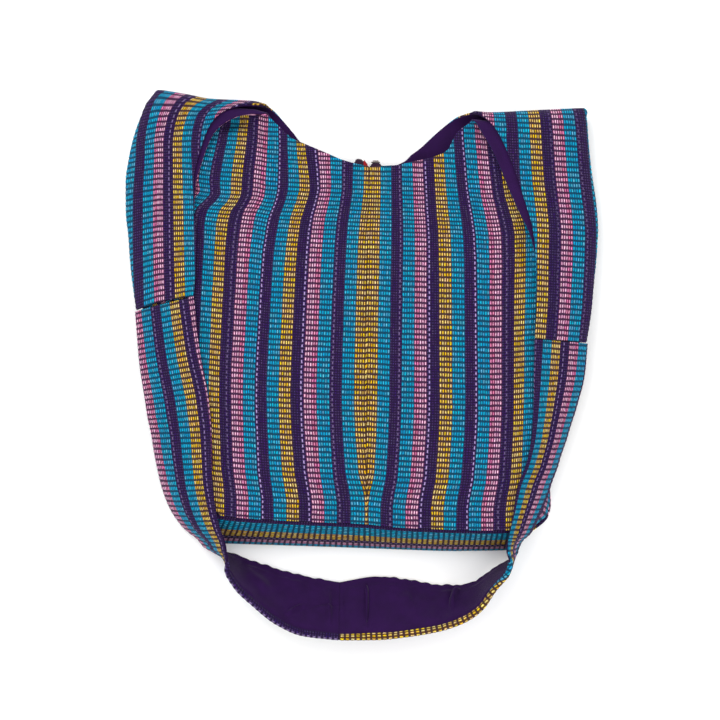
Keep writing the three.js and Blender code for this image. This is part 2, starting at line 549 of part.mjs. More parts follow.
// A closed wall of cloth between two distances from a grid
function wall(grid, low, high, part = {}) {
  const normals = normalsOf(grid.points);
  const { fromRow = 0, toRow = grid.points.length - 1 } = part;
  const { fromColumn = 0, toColumn = grid.points[0].length - 1 } = part;
  const columns = toColumn - fromColumn + 1;
  const rows = toRow - fromRow + 1;
  const positions = [];
  [high, low].forEach((distance) => {
    for (let i = fromRow; i <= toRow; i += 1) {
      for (let j = fromColumn; j <= toColumn; j += 1) {
        const point = grid.points[i][j].clone().addScaledVector(normals[i][j], distance);
        positions.push(point.x, point.y, point.z);
      }
    }
  });
  const index = [];
  const top = (i, j) => i * columns + j;
  const under = (i, j) => rows * columns + top(i, j);
  for (let i = 0; i < rows - 1; i += 1) {
    for (let j = 0; j < columns - 1; j += 1) {
      index.push(top(i, j), top(i, j + 1), top(i + 1, j + 1));
      index.push(top(i, j), top(i + 1, j + 1), top(i + 1, j));
      index.push(under(i, j), under(i + 1, j + 1), under(i, j + 1));
      index.push(under(i, j), under(i + 1, j), under(i + 1, j + 1));
    }
  }
  const rim = [];
  for (let j = 0; j < columns - 1; j += 1) rim.push([0, j]);
  for (let i = 0; i < rows - 1; i += 1) rim.push([i, columns - 1]);
  for (let j = columns - 1; j > 0; j -= 1) rim.push([rows - 1, j]);
  for (let i = rows - 1; i > 0; i -= 1) rim.push([i, 0]);
  rim.forEach(([i, j], k) => {
    const [ni, nj] = rim[(k + 1) % rim.length];
    index.push(top(ni, nj), top(i, j), under(i, j));
    index.push(top(ni, nj), under(i, j), under(ni, nj));
  });
  const geometry = new THREE.BufferGeometry();
  geometry.setAttribute('position', new THREE.Float32BufferAttribute(positions, 3));
  geometry.setIndex(index);
  geometry.computeVertexNormals();
  return geometry;
}

// Materials: colour, roughness and metalness of each kind of piece
const FINISHES = {
  woven: { color: 0x1f6f93, roughness: 0.9, metalness: 0 },
  lining: { color: 0x3a1858, roughness: 0.85, metalness: 0 },
  tape: { color: 0x2a2030, roughness: 0.8, metalness: 0 },
  metal: { color: 0xb9b4ac, roughness: 0.35, metalness: 1 },
};

const bag = new THREE.Group();
function add(name, geometry, finish) {
  const mesh = new THREE.Mesh(geometry, new THREE.MeshStandardMaterial(FINISHES[finish]));
  mesh.name = name;
  bag.add(mesh);
  return mesh;
}

const liningInside = CLOTH / 2 + GAP;
const liningPart = (side, grid, toRow) => {
  const last = grid.points[0].length - 1;
  const columns = side === LEFT ? { fromColumn: last - LINING_COLUMNS } : { toColumn: LINING_COLUMNS };
  return { fromRow: grid.ups.findIndex((up) => up >= MOUTH_LINING), toRow, ...columns };
};

[LEFT, RIGHT].forEach((side) => {
  const name = SIDE_NAME[side];
  const front = frontGrid(side);
  add(`front_panel_${name}`, wall(front, -CLOTH / 2, CLOTH / 2), 'woven');
  const frontLining = liningPart(side, front, front.points.length - 1 - LINING_END);
  add(`lining_front_${name}`, wall(front, -liningInside - LINING, -liningInside, frontLining), 'lining');

  const back = backGrid(side);
  add(`back_panel_${name}`, wall(back, -CLOTH / 2, CLOTH / 2), 'woven');
  const backLining = liningPart(side, back, back.foldRow + LINING_PAST_FOLD);
  add(`lining_back_${name}`, wall(back, liningInside, liningInside + LINING, backLining), 'lining');

  const strap = strapGrid(side);
  add(`strap_${name}`, wall(strap, -CLOTH / 2, CLOTH / 2), 'woven');
  add(`strap_lining_${name}`, wall(strap, liningInside, liningInside + LINING), 'lining');
});

const gusset = gussetGrid();
add('side_gusset_left', wall(gusset, -CLOTH / 2, CLOTH / 2, { toRow: gusset.leftLast }), 'woven');
add('bottom_gusset', wall(gusset, -CLOTH / 2, CLOTH / 2, {
  fromRow: gusset.leftLast + 1,
  toRow: gusset.rightFirst - 1,
}), 'woven');
add('side_gusset_right', wall(gusset, -CLOTH / 2, CLOTH / 2, { fromRow: gusset.rightFirst }), 'woven');

add('zip_tape_front', wall(zipTapeGrid(true), -TAPE / 2, TAPE / 2), 'tape');
add('zip_tape_back', wall(zipTapeGrid(false), -TAPE / 2, TAPE / 2), 'tape');
add('zip_chain', wall(zipChainGrid(), -TAPE, TAPE), 'metal');

// The slider sits on the outside of the chain, on the right hump
const sliderAt = zipStation(0.5 + ZIP_HUMPS[1].at);
const slider = add('zip_slider', new THREE.BoxGeometry(SLIDER_LENGTH, SLIDER_THICK, SLIDER_WIDTH), 'metal');
slider.position.set(
  sliderAt.x,
  sliderAt.out + TAPE + GAP + SLIDER_THICK / 2,
  (sliderAt.front + sliderAt.back) / 2,
);

// The origin is the middle of the bottom of the whole bag as it lies
bag.updateMatrixWorld(true);
const box = new THREE.Box3().setFromObject(bag, true);
const middle = box.getCenter(new THREE.Vector3());
bag.position.set(-middle.x, -middle.y, -box.min.z);

export default bag;
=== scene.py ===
# %% [markdown]
# # A shoulder bag of striped handwoven cotton
#
# The real bag is a soft sling bag from a hand loom: a coarse ribbed cotton whose stripes run up
# the body, a strip of the same cloth round the bottom and the sides, and two tall ears that are
# sewn to a broad strap. A plain purple cotton lines it. It lies on its back with the ears folded
# forward over the front and the strap looped past the bottom.
#
# Cloth could be simulated, but these folds are known from the picture, so each piece is a surface
# worked out row by row. The named sizes and the short tables are those of the solid model. Here
# each surface gets many more rows, real ribs, creases and hems.

# %% Imports and the frame
import math

import bpy
import numpy as np
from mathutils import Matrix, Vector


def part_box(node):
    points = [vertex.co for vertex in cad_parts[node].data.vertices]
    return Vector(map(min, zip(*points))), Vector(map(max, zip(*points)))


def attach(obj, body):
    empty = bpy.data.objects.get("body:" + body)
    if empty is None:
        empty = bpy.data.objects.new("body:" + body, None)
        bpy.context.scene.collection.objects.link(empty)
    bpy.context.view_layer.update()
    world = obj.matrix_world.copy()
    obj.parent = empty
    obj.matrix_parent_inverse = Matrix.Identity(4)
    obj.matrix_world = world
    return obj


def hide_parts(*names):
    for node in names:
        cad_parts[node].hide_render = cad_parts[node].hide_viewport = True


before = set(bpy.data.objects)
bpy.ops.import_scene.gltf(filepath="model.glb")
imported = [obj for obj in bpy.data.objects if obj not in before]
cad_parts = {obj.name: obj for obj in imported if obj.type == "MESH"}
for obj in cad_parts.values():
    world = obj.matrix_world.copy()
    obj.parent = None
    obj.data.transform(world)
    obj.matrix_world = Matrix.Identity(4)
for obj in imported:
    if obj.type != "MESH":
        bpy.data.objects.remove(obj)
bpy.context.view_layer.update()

# %% [markdown]
# ## Sizes
#
# These are the sizes of the solid model, in metres. In the tables, `up` is a share of the body's
# length and `across` a share of half its width. A few rows, at the left ear's outer edge, at the
# mouth and at the corners of the loop, follow the picture some millimetres closer than the solids do.

# %% Driving sizes
BODY_WIDTH = 0.392
BODY_LENGTH = 0.443
GUSSET_DEPTH = 0.046
CLOTH = 0.0018
LINING = 0.0010
TAPE = 0.0008
GAP = 0.0003
STRAP_WIDTH = 0.066
EAR_LENGTH = {-1: 0.222, 1: 0.236}
LOOP_DROP = 0.088
FRONT_FOLD_DROP = 0.0105
FRONT_FOLD_RISE = 0.009
FLAP_REST = 0.003
FLAP_SETTLE = 0.065
EAR_CLEAR = 0.0042
EAR_LOFT = 0.0009
EAR_INSET = 0.008
SHOW = {-1: 0.0025, 1: 0.0095}
EDGE_ROLL = 0.004
STRAP_REST = 0.0044
LOOP_FLOOR = 0.0026
LOOP_CURVE = 1.25
MOUTH_LINING = 0.72
ZIP_LENGTH = 0.104
ZIP_CHAIN = 0.0034
ZIP_HUMP = 0.0093
ZIP_RECESS = 0.003
TAPE_SEWN = 0.012
GUSSET_UNDER = 0.0016
GUSSET_OVER = 0.0027
STRAP_SEAM = 0.00045

HALF = BODY_WIDTH / 2
LEFT, RIGHT = -1, 1
SIDE_NAME = {LEFT: "left", RIGHT: "right"}
FRONT_FOLD_RADIUS = FRONT_FOLD_RISE / 2
BACK_Z = CLOTH / 2
LINING_INSIDE = CLOTH / 2 + GAP

# The weave, measured along the cloth
STRIPE = 0.0122
REPEAT = 6 * STRIPE
RIB = 0.0053
RIB_HEIGHT = 0.00035

print(f"body {BODY_WIDTH:.3f} x {BODY_LENGTH:.3f} m, {BODY_LENGTH / RIB:.0f} ribs from bottom to fold")


# %% Short tables with named columns
def table(columns, *rows):
    """Rows of numbers as one array for each named column."""
    values = np.array(rows, float)
    return {name: values[:, i] for i, name in enumerate(columns.split())}


FOLD = table(
    "across up",
    (-1.045, 1.041),
    (-0.9, 1.03),
    (-0.78, 1.02),
    (-0.56, 1.015),
    (-0.48, 1.007),
    (0.57, 0.992),
    (0.65, 0.989),
    (0.85, 0.993),
    (1.15, 1.0),
)
LOWER_SEAM = table(
    "across up",
    (-0.8, 0.085),
    (-0.63, 0.0745),
    (-0.24, 0.0655),
    (0, 0.061),
    (0.19, 0.053),
    (0.7, 0.046),
    (0.85, 0.052),
)
SIDES = table(
    "up floor_left floor_right seam_left seam_right",
    (0, 0.8, 0.74, 0.72, 0.75),
    (0.03, 0.86, 0.845, 0.79, 0.8),
    (0.07, 0.935, 0.96, 0.84, 0.83),
    (0.1, 0.99, 0.975, 0.87, 0.845),
    (0.14, 1.025, 0.97, 0.895, 0.85),
    (0.22, 1.05, 0.985, 0.92, 0.865),
    (0.4, 1.08, 1.03, 0.95, 0.91),
    (0.6, 1.09, 1.09, 0.965, 0.97),
    (0.8, 1.08, 1.125, 0.975, 1.02),
    (1, 1.062, 1.15, 1.0, 1.1),
)
HEIGHTS = table(
    "up middle side",
    (0.05, 1, 0.9),
    (0.12, 1.04, 0.82),
    (0.3, 0.88, 0.72),
    (0.5, 0.68, 0.62),
    (0.7, 0.52, 0.52),
    (0.85, 0.43, 0.46),
    (1, 0.42, 0.42),
)
BACK_MOUTH = table(
    "up left right",
    (0.862, -0.02, 0.02),
    (0.87, 0.06, 0.12),
    (0.885, 0.13, 0.2),
    (0.9, 0.21, 0.25),
    (0.915, 0.3, 0.295),
    (0.945, 0.36, 0.366),
    (0.975, 0.42, 0.442),
    (0.99, 0.455, 0.492),
    (1, 0.492, 0.569),
)
FRONT_MOUTH = table(
    "up left right",
    (0.883, -0.02, 0.02),
    (0.887, 0.03, 0.145),
    (0.8955, 0.095, 0.235),
    (0.912, 0.18, 0.37),
    (0.93, 0.275, 0.437),
    (0.948, 0.365, 0.457),
    (0.973, 0.425, 0.485),
    (1, 0.485, 0.557),
)
EARS = {
    LEFT: table(
        "along inner drop wide show",
        (0, 0.492, 0, 1.695, 0.2),
        (0.03, 0.543, 0.015, 1.61, 0.4),
        (0.06, 0.61, 0.0225, 1.485, 0.7),
        (0.12, 0.696, 0.052, 1.315, 1),
        (0.2, 0.773, 0.117, 1.19, 1),
        (0.3, 0.827, 0.239, 1.115, 0.9),
        (0.42, 0.86, 0.374, 1.07, 0.5),
        (0.55, 0.862, 0.491, 1.06, 0),
        (0.7, 0.85, 0.633, 1.045, -0.4),
        (0.85, 0.85, 0.768, 1, -0.6),
        (1, 0.86, 0.905, 0.9, -0.6),
    ),
    RIGHT: table(
        "along inner drop wide show",
        (0, 0.569, 0, 1.727, 0.2),
        (0.03, 0.599, 0.009, 1.644, 0.4),
        (0.06, 0.625, 0.024, 1.576, 0.7),
        (0.12, 0.681, 0.078, 1.424, 1),
        (0.2, 0.732, 0.161, 1.3, 1),
        (0.3, 0.783, 0.265, 1.197, 1),
        (0.42, 0.829, 0.386, 1.12, 0.75),
        (0.55, 0.87, 0.515, 1.015, 0.25),
        (0.7, 0.885, 0.665, 0.924, -0.2),
        (0.85, 0.885, 0.822, 0.871, -0.3),
        (1, 0.875, 0.97, 0.818, -0.3),
    ),
}
STRAP_COLUMNS = "run inner over ahead hold rise droop reach"
STRAPS = {
    LEFT: table(
        STRAP_COLUMNS,
        (0, 0.86, 0.9, -0.227, 1, 0.5, 0.26, 0.35),
        (0.21, 0.829, 0.93, -0.18, 1, 0.5, 0.27, 0.35),
        (0.41, 0.781, 0.97, -0.12, 1, 0.5, 0.32, 0.35),
        (0.57, 0.765, 0.925, -0.02, 1, 0.5, 0.42, 0.4),
        (0.705, 0.763, 0.833, -0.045, 1, 0.6, 0.55, 0.5),
        (0.823, 0.747, 0.742, -0.03, 1, 0.7, 0.7, 0.6),
        (0.913, 0.722, 0.606, -0.015, 0.85, 0.75, 0.85, 0.7),
        (0.98, 0.696, 0.42, 0, 0.5, 0.8, 0.9, 0.8),
        (1.09, 0.686, 0.212, 0.03, 0.15, 0.84, 0.9, 0.9),
        (1.205, 0.691, 0.015, 0.18, 0, 0.84, 0.9, 0.9),
        (1.4, 0.645, -0.06, 0.38, 0, 0.78, 0.9, 0.9),
        (1.6, 0.554, -0.03, 0.56, 0, 0.74, 0.9, 0.9),
        (1.81, 0.436, -0.045, 0.727, 0, 0.69, 0.9, 0.9),
        (1.94, 0.304, -0.03, 0.81, 0, 0.65, 0.9, 0.9),
        (1.99, 0.12, 0, 0.78, 0, 0.63, 0.9, 0.9),
    ),
    RIGHT: table(
        STRAP_COLUMNS,
        (0, 0.875, 0.818, -0.07, 1, 0.5, 0.26, 0.35),
        (0.17, 0.872, 0.78, -0.02, 1, 0.5, 0.27, 0.35),
        (0.31, 0.87, 0.68, 0, 1, 0.5, 0.32, 0.35),
        (0.45, 0.862, 0.57, 0, 1, 0.5, 0.42, 0.4),
        (0.585, 0.834, 0.515, -0.01, 1, 0.6, 0.52, 0.5),
        (0.7, 0.788, 0.515, -0.03, 1, 0.7, 0.5, 0.55),
        (0.82, 0.765, 0.43, -0.01, 1, 0.75, 0.36, 0.65),
        (0.915, 0.745, 0.36, 0, 1, 0.8, 0.5, 0.8),
        (0.99, 0.735, 0.225, -0.01, 0.5, 0.84, 0.9, 0.9),
        (1.14, 0.752, 0.14, 0.09, 0.12, 0.84, 0.9, 0.9),
        (1.25, 0.738, 0.09, 0.14, 0, 0.82, 0.9, 0.9),
        (1.43, 0.672, -0.05, 0.18, 0, 0.78, 0.9, 0.9),
        (1.64, 0.608, -0.08, 0.32, 0, 0.74, 0.9, 0.9),
        (1.78, 0.523, -0.105, 0.46, 0, 0.71, 0.9, 0.9),
        (1.89, 0.385, -0.09, 0.62, 0, 0.68, 0.9, 0.9),
        (1.95, 0.232, -0.045, 0.78, 0, 0.65, 0.9, 0.9),
        (1.985, 0.069, -0.01, 0.86, 0, 0.64, 0.9, 0.9),
        (1.99, -0.12, 0, 0.78, 0, 0.63, 0.9, 0.9),
    ),
}
GUSSET_SECTION = table("out down", (0.01, 0), (0.2, 0.12), (0.44, 0.34), (0.64, 0.56), (0.8, 0.79), (0.93, 1))
ZIP_HUMPS = ((-0.067, 0.052, 1.0), (-0.004, 0.021, 0.64), (0.092, 0.06, 0.72))
# How far the lower edge on the floor lies above its straight line, in metres
LOWER_EDGE = table("across by", (-0.8, 0.003), (-0.55, 0.0015), (-0.13, -0.0012), (0.2, -0.0035), (0.45, -0.005), (0.8, -0.004))
BACK_UNDER = 0.0012  # the back's own edge stays hidden under the gusset

# %% [markdown]
# ## Where the stripes run
#
# A loom stripe is about 12 mm wide and six of them make a repeat. As the cloth is pulled in at
# the centre seam and falls away at the sides, the stripes do not stay straight in the picture. So
# each piece gets a map in cloth millimetres, from tables that say where a few stripe edges lie.

# %% Stripe edges
# Distance from the seam, in shares of half the width, of the stripe edges with these numbers
FRONT_EDGES = (1, 3, 6, 9, 12)
FRONT_STRIPES = table(
    "up left_1 left_3 left_6 left_9 left_12 right_1 right_3 right_6 right_9 right_12",
    (0.05, 0.010, 0.150, 0.340, 0.535, 0.720, 0.010, 0.132, 0.325, 0.518, 0.704),
    (0.075, 0.016, 0.157, 0.347, 0.542, 0.725, 0.018, 0.139, 0.331, 0.524, 0.711),
    (0.13, 0.042, 0.172, 0.365, 0.555, 0.738, 0.040, 0.158, 0.350, 0.545, 0.730),
    (0.312, 0.063, 0.188, 0.385, 0.568, 0.749, 0.055, 0.177, 0.370, 0.567, 0.748),
    (0.5, 0.056, 0.178, 0.372, 0.552, 0.736, 0.060, 0.181, 0.370, 0.566, 0.752),
    (0.652, 0.046, 0.165, 0.357, 0.533, 0.721, 0.066, 0.186, 0.369, 0.564, 0.757),
    (0.715, 0.040, 0.157, 0.345, 0.515, 0.712, 0.068, 0.188, 0.367, 0.560, 0.758),
    (0.75, 0.033, 0.150, 0.333, 0.500, 0.696, 0.070, 0.187, 0.363, 0.552, 0.748),
    (0.773, 0.027, 0.142, 0.318, 0.482, 0.665, 0.071, 0.186, 0.359, 0.545, 0.735),
    (0.797, 0.021, 0.134, 0.302, 0.466, 0.642, 0.072, 0.185, 0.356, 0.536, 0.722),
    (0.824, 0.015, 0.127, 0.290, 0.456, 0.640, 0.073, 0.183, 0.353, 0.526, 0.707),
    (0.932, 0.010, 0.125, 0.313, 0.451, 0.614, 0.071, 0.180, 0.340, 0.505, 0.680),
    (1, 0.010, 0.125, 0.318, 0.452, 0.600, 0.070, 0.180, 0.335, 0.495, 0.665),
)
# On an ear: where one stripe edge lies, its number, and how wide a stripe looks in stripe widths
EAR_STRIPES = {
    LEFT: table(
        "along at pitch",
        (0, 0.844, 0.87),
        (0.045, 0.89, 0.85),
        (0.16, 0.946, 0.78),
        (0.29, 0.969, 0.76),
        (0.5, 0.967, 0.82),
        (0.75, 0.962, 0.84),
        (1, 0.955, 0.84),
    ),
    RIGHT: table(
        "along at pitch",
        (0, 0.9, 0.93),
        (0.3, 0.925, 0.97),
        (0.55, 0.951, 0.98),
        (0.8, 0.946, 0.94),
        (1, 0.931, 0.9),
    ),
}
EAR_EDGE_NUMBER = {LEFT: 0, RIGHT: -6}
# On a strap: the cloth position of its inner edge, in stripes, and how many stripes wide it is
STRAP_STRIPES = {
    LEFT: table("run start across", (0, -1.55, 6.3), (0.4, -1.15, 6.1), (1, -0.8, 6), (1.2, -0.3, 6), (2, -0.15, 6)),
    RIGHT: table(
        "run start across",
        (0, 2.95, -6.1),
        (0.5, 2.6, -6),
        (0.7, 2.45, -6),
        (0.95, 1.9, -6),
        (1.15, 1.2, -6),
        (1.35, 0.7, -6),
        (1.6, 0.2, -6),
        (2, 0.05, -6),
    ),
}
# Down the gusset's section
GUSSET_STRIPES = table("share at", (0, 2.3), (0.11, 2), (0.37, 1), (0.57, 0), (0.69, -1), (0.82, -2), (1, -2.9))
# How far the centre seam is pulled to the right of a straight line, in metres
SEAM_PULL = table("up by", (0, 0.0008), (0.3, -0.0002), (0.65, 0.0006), (0.8, 0.003), (0.883, 0.0032), (0.9, 0))
# Crowding of the ribs where the front sags under the ears
RIB_CROWD = table("up crowd", (0, 1), (0.6, 1), (0.7, 1.12), (0.76, 1.3), (0.82, 1.2), (0.9, 1.05), (1, 1))


# %% Small helpers
def curve(rows, key, column):
    """A smooth curve through two columns of a table, with no overshoot between its rows."""
    xs, ys = rows[key], rows[column]
    step = np.diff(ys) / np.diff(xs)
    slope = np.zeros(len(xs))
    slope[0], slope[-1] = step[0], step[-1]
    before, after = step[:-1], step[1:]
    same = before * after > 0
    slope[1:-1][same] = 2 * before[same] * after[same] / (before + after)[same]

    def at(value):
        value = np.clip(np.asarray(value, float), xs[0], xs[-1])
        i = np.clip(np.searchsorted(xs, value) - 1, 0, len(xs) - 2)
        span = xs[i + 1] - xs[i]
        t = (value - xs[i]) / span
        rest = 1 - t
        start = (1 + 2 * t) * rest * rest * ys[i] + t * rest * rest * span * slope[i]
        return start + t * t * (3 - 2 * t) * ys[i + 1] - t * t * rest * span * slope[i + 1]

    return at


def lerp(a, b, t):
    return a + (b - a) * t


def smoothstep(value, low, high):
    t = np.clip((value - low) / (high - low), 0, 1)
    return t * t * (3 - 2 * t)


def round_edge(depth, radius):
    """0 at the edge of a fold and 1 once it is a radius deep."""
    return np.sqrt(1 - (1 - np.clip(depth / radius, 0, 1)) ** 2)


def soft_noise(x, y, size, seed):
    """Gentle unevenness between -1 and 1, with features of about the given size."""
    total = 0
    for k in range(5):
        turn = seed * 1.7 + k * 2.39996
        reach = size * (0.75 + 0.23 * k)
        wave = (x * math.cos(turn) + y * math.sin(turn)) / reach
        total = total + np.sin(2 * np.pi * wave + seed + 1.3 * k)
    return total / 3.4


def spread(start, end, step):
    """Evenly spaced values from start to end, about a step apart."""
    return np.linspace(start, end, max(2, int(round(abs(end - start) / step)) + 1))


# %% [markdown]
# ## The body's surfaces
#
# The front panel's height comes from the gusset: it is highest at the bottom seam and sinks
# towards the mouth. Everything that lies over it, the folded front layer, the ears and the strap,
# is that height and a little more, so no layer can cut through another.

# %% Outline and height of the body
fold_up = curve(FOLD, "across", "up")
lower_seam_up = curve(LOWER_SEAM, "across", "up")
height_middle = curve(HEIGHTS, "up", "middle")
height_side = curve(HEIGHTS, "up", "side")


def fold_y(x):
    return BODY_LENGTH * fold_up(x / HALF)


def front_fold_y(x):
    return fold_y(x) - FRONT_FOLD_DROP


def lower_seam_y(x):
    return BODY_LENGTH * lower_seam_up(x / HALF)


def lower_edge_y(x):
    return curve(LOWER_EDGE, "across", "by")(x / HALF)


def side_x(side, up, edge):
    return side * HALF * curve(SIDES, "up", f"{edge}_{SIDE_NAME[side]}")(up)


def mouth_x(rows, side, up):
    inner = curve(rows, "up", SIDE_NAME[side])(up)
    start = rows[SIDE_NAME[side]][0]
    closed = up <= rows["up"][0]
    straight = np.where(closed, HALF * rows["right"][0], side * HALF * np.where(closed, start, inner))
    return straight + side * GAP / 2 + curve(SEAM_PULL, "up", "by")(up)


def front_z(x, y):
    """Height of the middle of the front panel's cloth, without its creases."""
    up = y / fold_y(x)
    middle, side = height_middle(up), height_side(up)
    seam = np.where(x < 0, side_x(LEFT, up, "seam"), side_x(RIGHT, up, "seam"))
    out = np.clip(x / seam, 0, 1)
    return GUSSET_DEPTH * lerp(middle, side, out**3)


def flap_z(x, y):
    settled = smoothstep(front_fold_y(x) - y, FRONT_FOLD_RADIUS, FLAP_SETTLE)
    return front_z(x, y) + lerp(FRONT_FOLD_RISE, FLAP_REST, settled)


def ear_z(x, y):
    settled = smoothstep(fold_y(x) - y, 0, FLAP_SETTLE)
    return flap_z(x, y) + EAR_CLEAR + lerp(EAR_LOFT, 0, settled)


def fold_middle_z(x):
    return (BACK_Z + ear_z(x, fold_y(x) - FRONT_FOLD_DROP)) / 2


def fold_radius(x):
    return fold_middle_z(x) - BACK_Z


def droop(inside, reach, depth):
    """How far an outer edge hangs, by the distance inside that edge."""
    return depth * np.maximum(0, 1 - inside / reach) ** 2


EAR_DROOP = STRAPS[LEFT]["droop"][0] * GUSSET_DEPTH
EAR_REACH = STRAPS[LEFT]["reach"][0] * STRAP_WIDTH

# %% [markdown]
# ## Creases
#
# The front is not smooth. The two halves are pulled in along the centre seam, soft creases run
# down from the mouth on the left, the cloth sags below the mouth, and it dips beside the right ear.

# %% Relief of the front panels
CREASES = table(
    "from_x from_y to_x to_y width height",
    (-0.098, 0.430, -0.127, 0.346, 0.007, -0.0032),
    (-0.086, 0.421, -0.110, 0.328, 0.008, 0.0026),
    (-0.065, 0.412, -0.047, 0.319, 0.008, -0.0022),
    (-0.039, 0.390, -0.031, 0.310, 0.009, 0.0018),
    (-0.141, 0.352, -0.100, 0.318, 0.007, -0.0030),
    (0.165, 0.328, 0.167, 0.284, 0.007, -0.0050),
    (0.122, 0.381, 0.145, 0.319, 0.009, 0.0024),
    (0.059, 0.381, 0.051, 0.310, 0.010, -0.0014),
    (0.153, 0.222, 0.157, 0.097, 0.008, -0.0022),
    (-0.145, 0.199, -0.137, 0.066, 0.010, -0.0020),
    (-0.088, 0.089, -0.102, 0.031, 0.009, -0.0016),
    (0.094, 0.089, 0.110, 0.031, 0.009, -0.0016),
)
SEAM_X = HALF * FRONT_MOUTH["right"][0]
SEAM_VALLEY = 0.0026
SEAM_NICK = 0.0012
SEAM_VALLEY_WIDTH = 0.0075
SAG = 0.0028
SAG_UP = 0.745
SAG_WIDTH = 0.075
# The hollow under the left ear's arch: its place, its reach both ways and its depth
ARCH_HOLLOW = (-0.128, 0.4265, 0.0135, 0.0065, 0.0085)


def crease_lines(rows, x, y):
    """Height that a table of straight creases adds, each with soft ends."""
    relief = 0
    for i in range(len(rows["width"])):
        ax, ay = rows["from_x"][i], rows["from_y"][i]
        bx, by = rows["to_x"][i], rows["to_y"][i]
        length = math.hypot(bx - ax, by - ay)
        t = ((x - ax) * (bx - ax) + (y - ay) * (by - ay)) / length**2
        off = ((x - ax) * (by - ay) - (y - ay) * (bx - ax)) / length
        fade = smoothstep(t, -0.25, 0.2) * (1 - smoothstep(t, 0.7, 1.25))
        relief = relief + rows["height"][i] * fade * np.exp(-((off / rows["width"][i]) ** 2))
    return relief


def crease_relief(x, y):
    """Height that the creases, the centre seam and the sag add to the front panel."""
    across, up = x / HALF, y / BODY_LENGTH
    relief = crease_lines(CREASES, x, y)
    seam = np.exp(-np.abs(x - SEAM_X - curve(SEAM_PULL, "up", "by")(up)) / SEAM_VALLEY_WIDTH)
    pucker = 1 + 0.35 * np.sin(2 * np.pi * y / 0.031 + 2 * np.sin(y / 0.05))
    below_mouth = 1 - 0.85 * smoothstep(up, 0.78, 0.84)
    relief = relief - (SEAM_VALLEY * seam * pucker + SEAM_NICK * seam**5) * below_mouth
    relief = relief - SAG * np.exp(-(((up - SAG_UP) / SAG_WIDTH) ** 2)) * (1 - smoothstep(np.abs(across), 0.6, 0.95))
    relief = relief + 0.0007 * soft_noise(x, y, 0.07, 3) + 0.00035 * soft_noise(x, y, 0.028, 8)
    near_seam = smoothstep(y - lower_seam_y(x), 0, 0.03)
    return relief * lerp(0.25, 1, near_seam)


# %% [markdown]
# ## From a surface to a wall of cloth
#
# Each piece is a grid of points on the middle of the cloth, with rows along the ribs. One function
# gives it both faces and a rim, raises the ribs on the outer face, and keeps the cloth map as its
# UV map in millimetres.

# %% Cloth walls
def normals_of(points):
    along = np.gradient(points, axis=0)
    across = np.gradient(points, axis=1)
    normal = np.cross(across, along)
    return normal / np.maximum(np.linalg.norm(normal, axis=2, keepdims=True), 1e-12)


def row_lengths(points, axes=(0, 1, 2)):
    """Length along the cloth to each row, taken over all the columns."""
    steps = np.linalg.norm(np.diff(points[..., list(axes)], axis=0), axis=2).mean(axis=1)
    return np.concatenate([[0], np.cumsum(steps)])


def edge_distance(points):
    """Distance along the cloth from the nearest of its four edges."""
    down = np.linalg.norm(np.diff(points, axis=0), axis=2)
    along = np.concatenate([np.zeros((1, points.shape[1])), np.cumsum(down, axis=0)])
    side = np.linalg.norm(np.diff(points, axis=1), axis=2)
    across = np.concatenate([np.zeros((points.shape[0], 1)), np.cumsum(side, axis=1)], axis=1)
    return np.minimum(np.minimum(along, along[-1:] - along), np.minimum(across, across[:, -1:] - across))


def mesh_object(name, vertices, faces, material, uv=None):
    mesh = bpy.data.meshes.new(name)
    mesh.from_pydata(vertices.tolist(), [], faces.tolist() if hasattr(faces, "tolist") else faces)
    mesh.polygons.foreach_set("use_smooth", [True] * len(mesh.polygons))
    if uv is not None:
        layer = mesh.uv_layers.new(name="cloth_mm")
        corner = np.zeros(len(mesh.loops), np.int32)
        mesh.loops.foreach_get("vertex_index", corner)
        layer.data.foreach_set("uv", uv[corner].astype(np.float32).ravel())
    mesh.materials.append(material)
    piece = bpy.data.objects.new(name, mesh)
    bpy.context.scene.collection.objects.link(piece)
    return piece


def wall_faces(rows, columns):
    """Quads of both faces and the rim of a wall with that many rows and columns."""
    grid = np.arange(rows * columns).reshape(rows, columns)
    a, b, c, d = grid[:-1, :-1], grid[:-1, 1:], grid[1:, 1:], grid[1:, :-1]
    upper = np.stack([a, b, c, d], -1).reshape(-1, 4)
    under = np.stack([a, d, c, b], -1).reshape(-1, 4) + rows * columns
    rim = np.concatenate([grid[0, :-1], grid[:-1, -1], grid[-1, :0:-1], grid[:0:-1, 0]])
    following = np.roll(rim, -1)
    edge = np.stack([following, rim, rim + rows * columns, following + rows * columns], -1)
    return np.concatenate([upper, under, edge])


HEM_REACH = 0.0014
HEM_LEAST = 0.4


def cloth_wall(points, cloth_map, low, high, ribs=0.0):
    """Vertices, faces and UVs of a closed wall between two distances from a grid, round at its edges."""
    normal = normals_of(points)
    u, v = cloth_map
    wave = (0.5 * np.cos(2 * np.pi * (v / RIB)))[..., None] * ribs
    hem = lerp(HEM_LEAST, 1, round_edge(edge_distance(points), HEM_REACH))[..., None]
    middle, half = (low + high) / 2, (high - low) / 2
    outer = points + normal * (middle + (half + wave) * hem)
    inner = points + normal * (middle - (half + wave) * hem)
    uv = np.stack([u.ravel() * 1000, v.ravel() * 1000], -1)
    return np.concatenate([outer.reshape(-1, 3), inner.reshape(-1, 3)]), wall_faces(*u.shape), np.concatenate([uv, uv])


def cloth(name, material, *walls):
    """One piece of cloth from one or more walls."""
    start, faces = 0, []
    for vertices, wall, _ in walls:
        faces.append(wall + start)
        start += len(vertices)
    vertices = np.concatenate([wall[0] for wall in walls]) + ORIGIN
    return mesh_object(name, vertices, np.concatenate(faces), material, np.concatenate([wall[2] for wall in walls]))


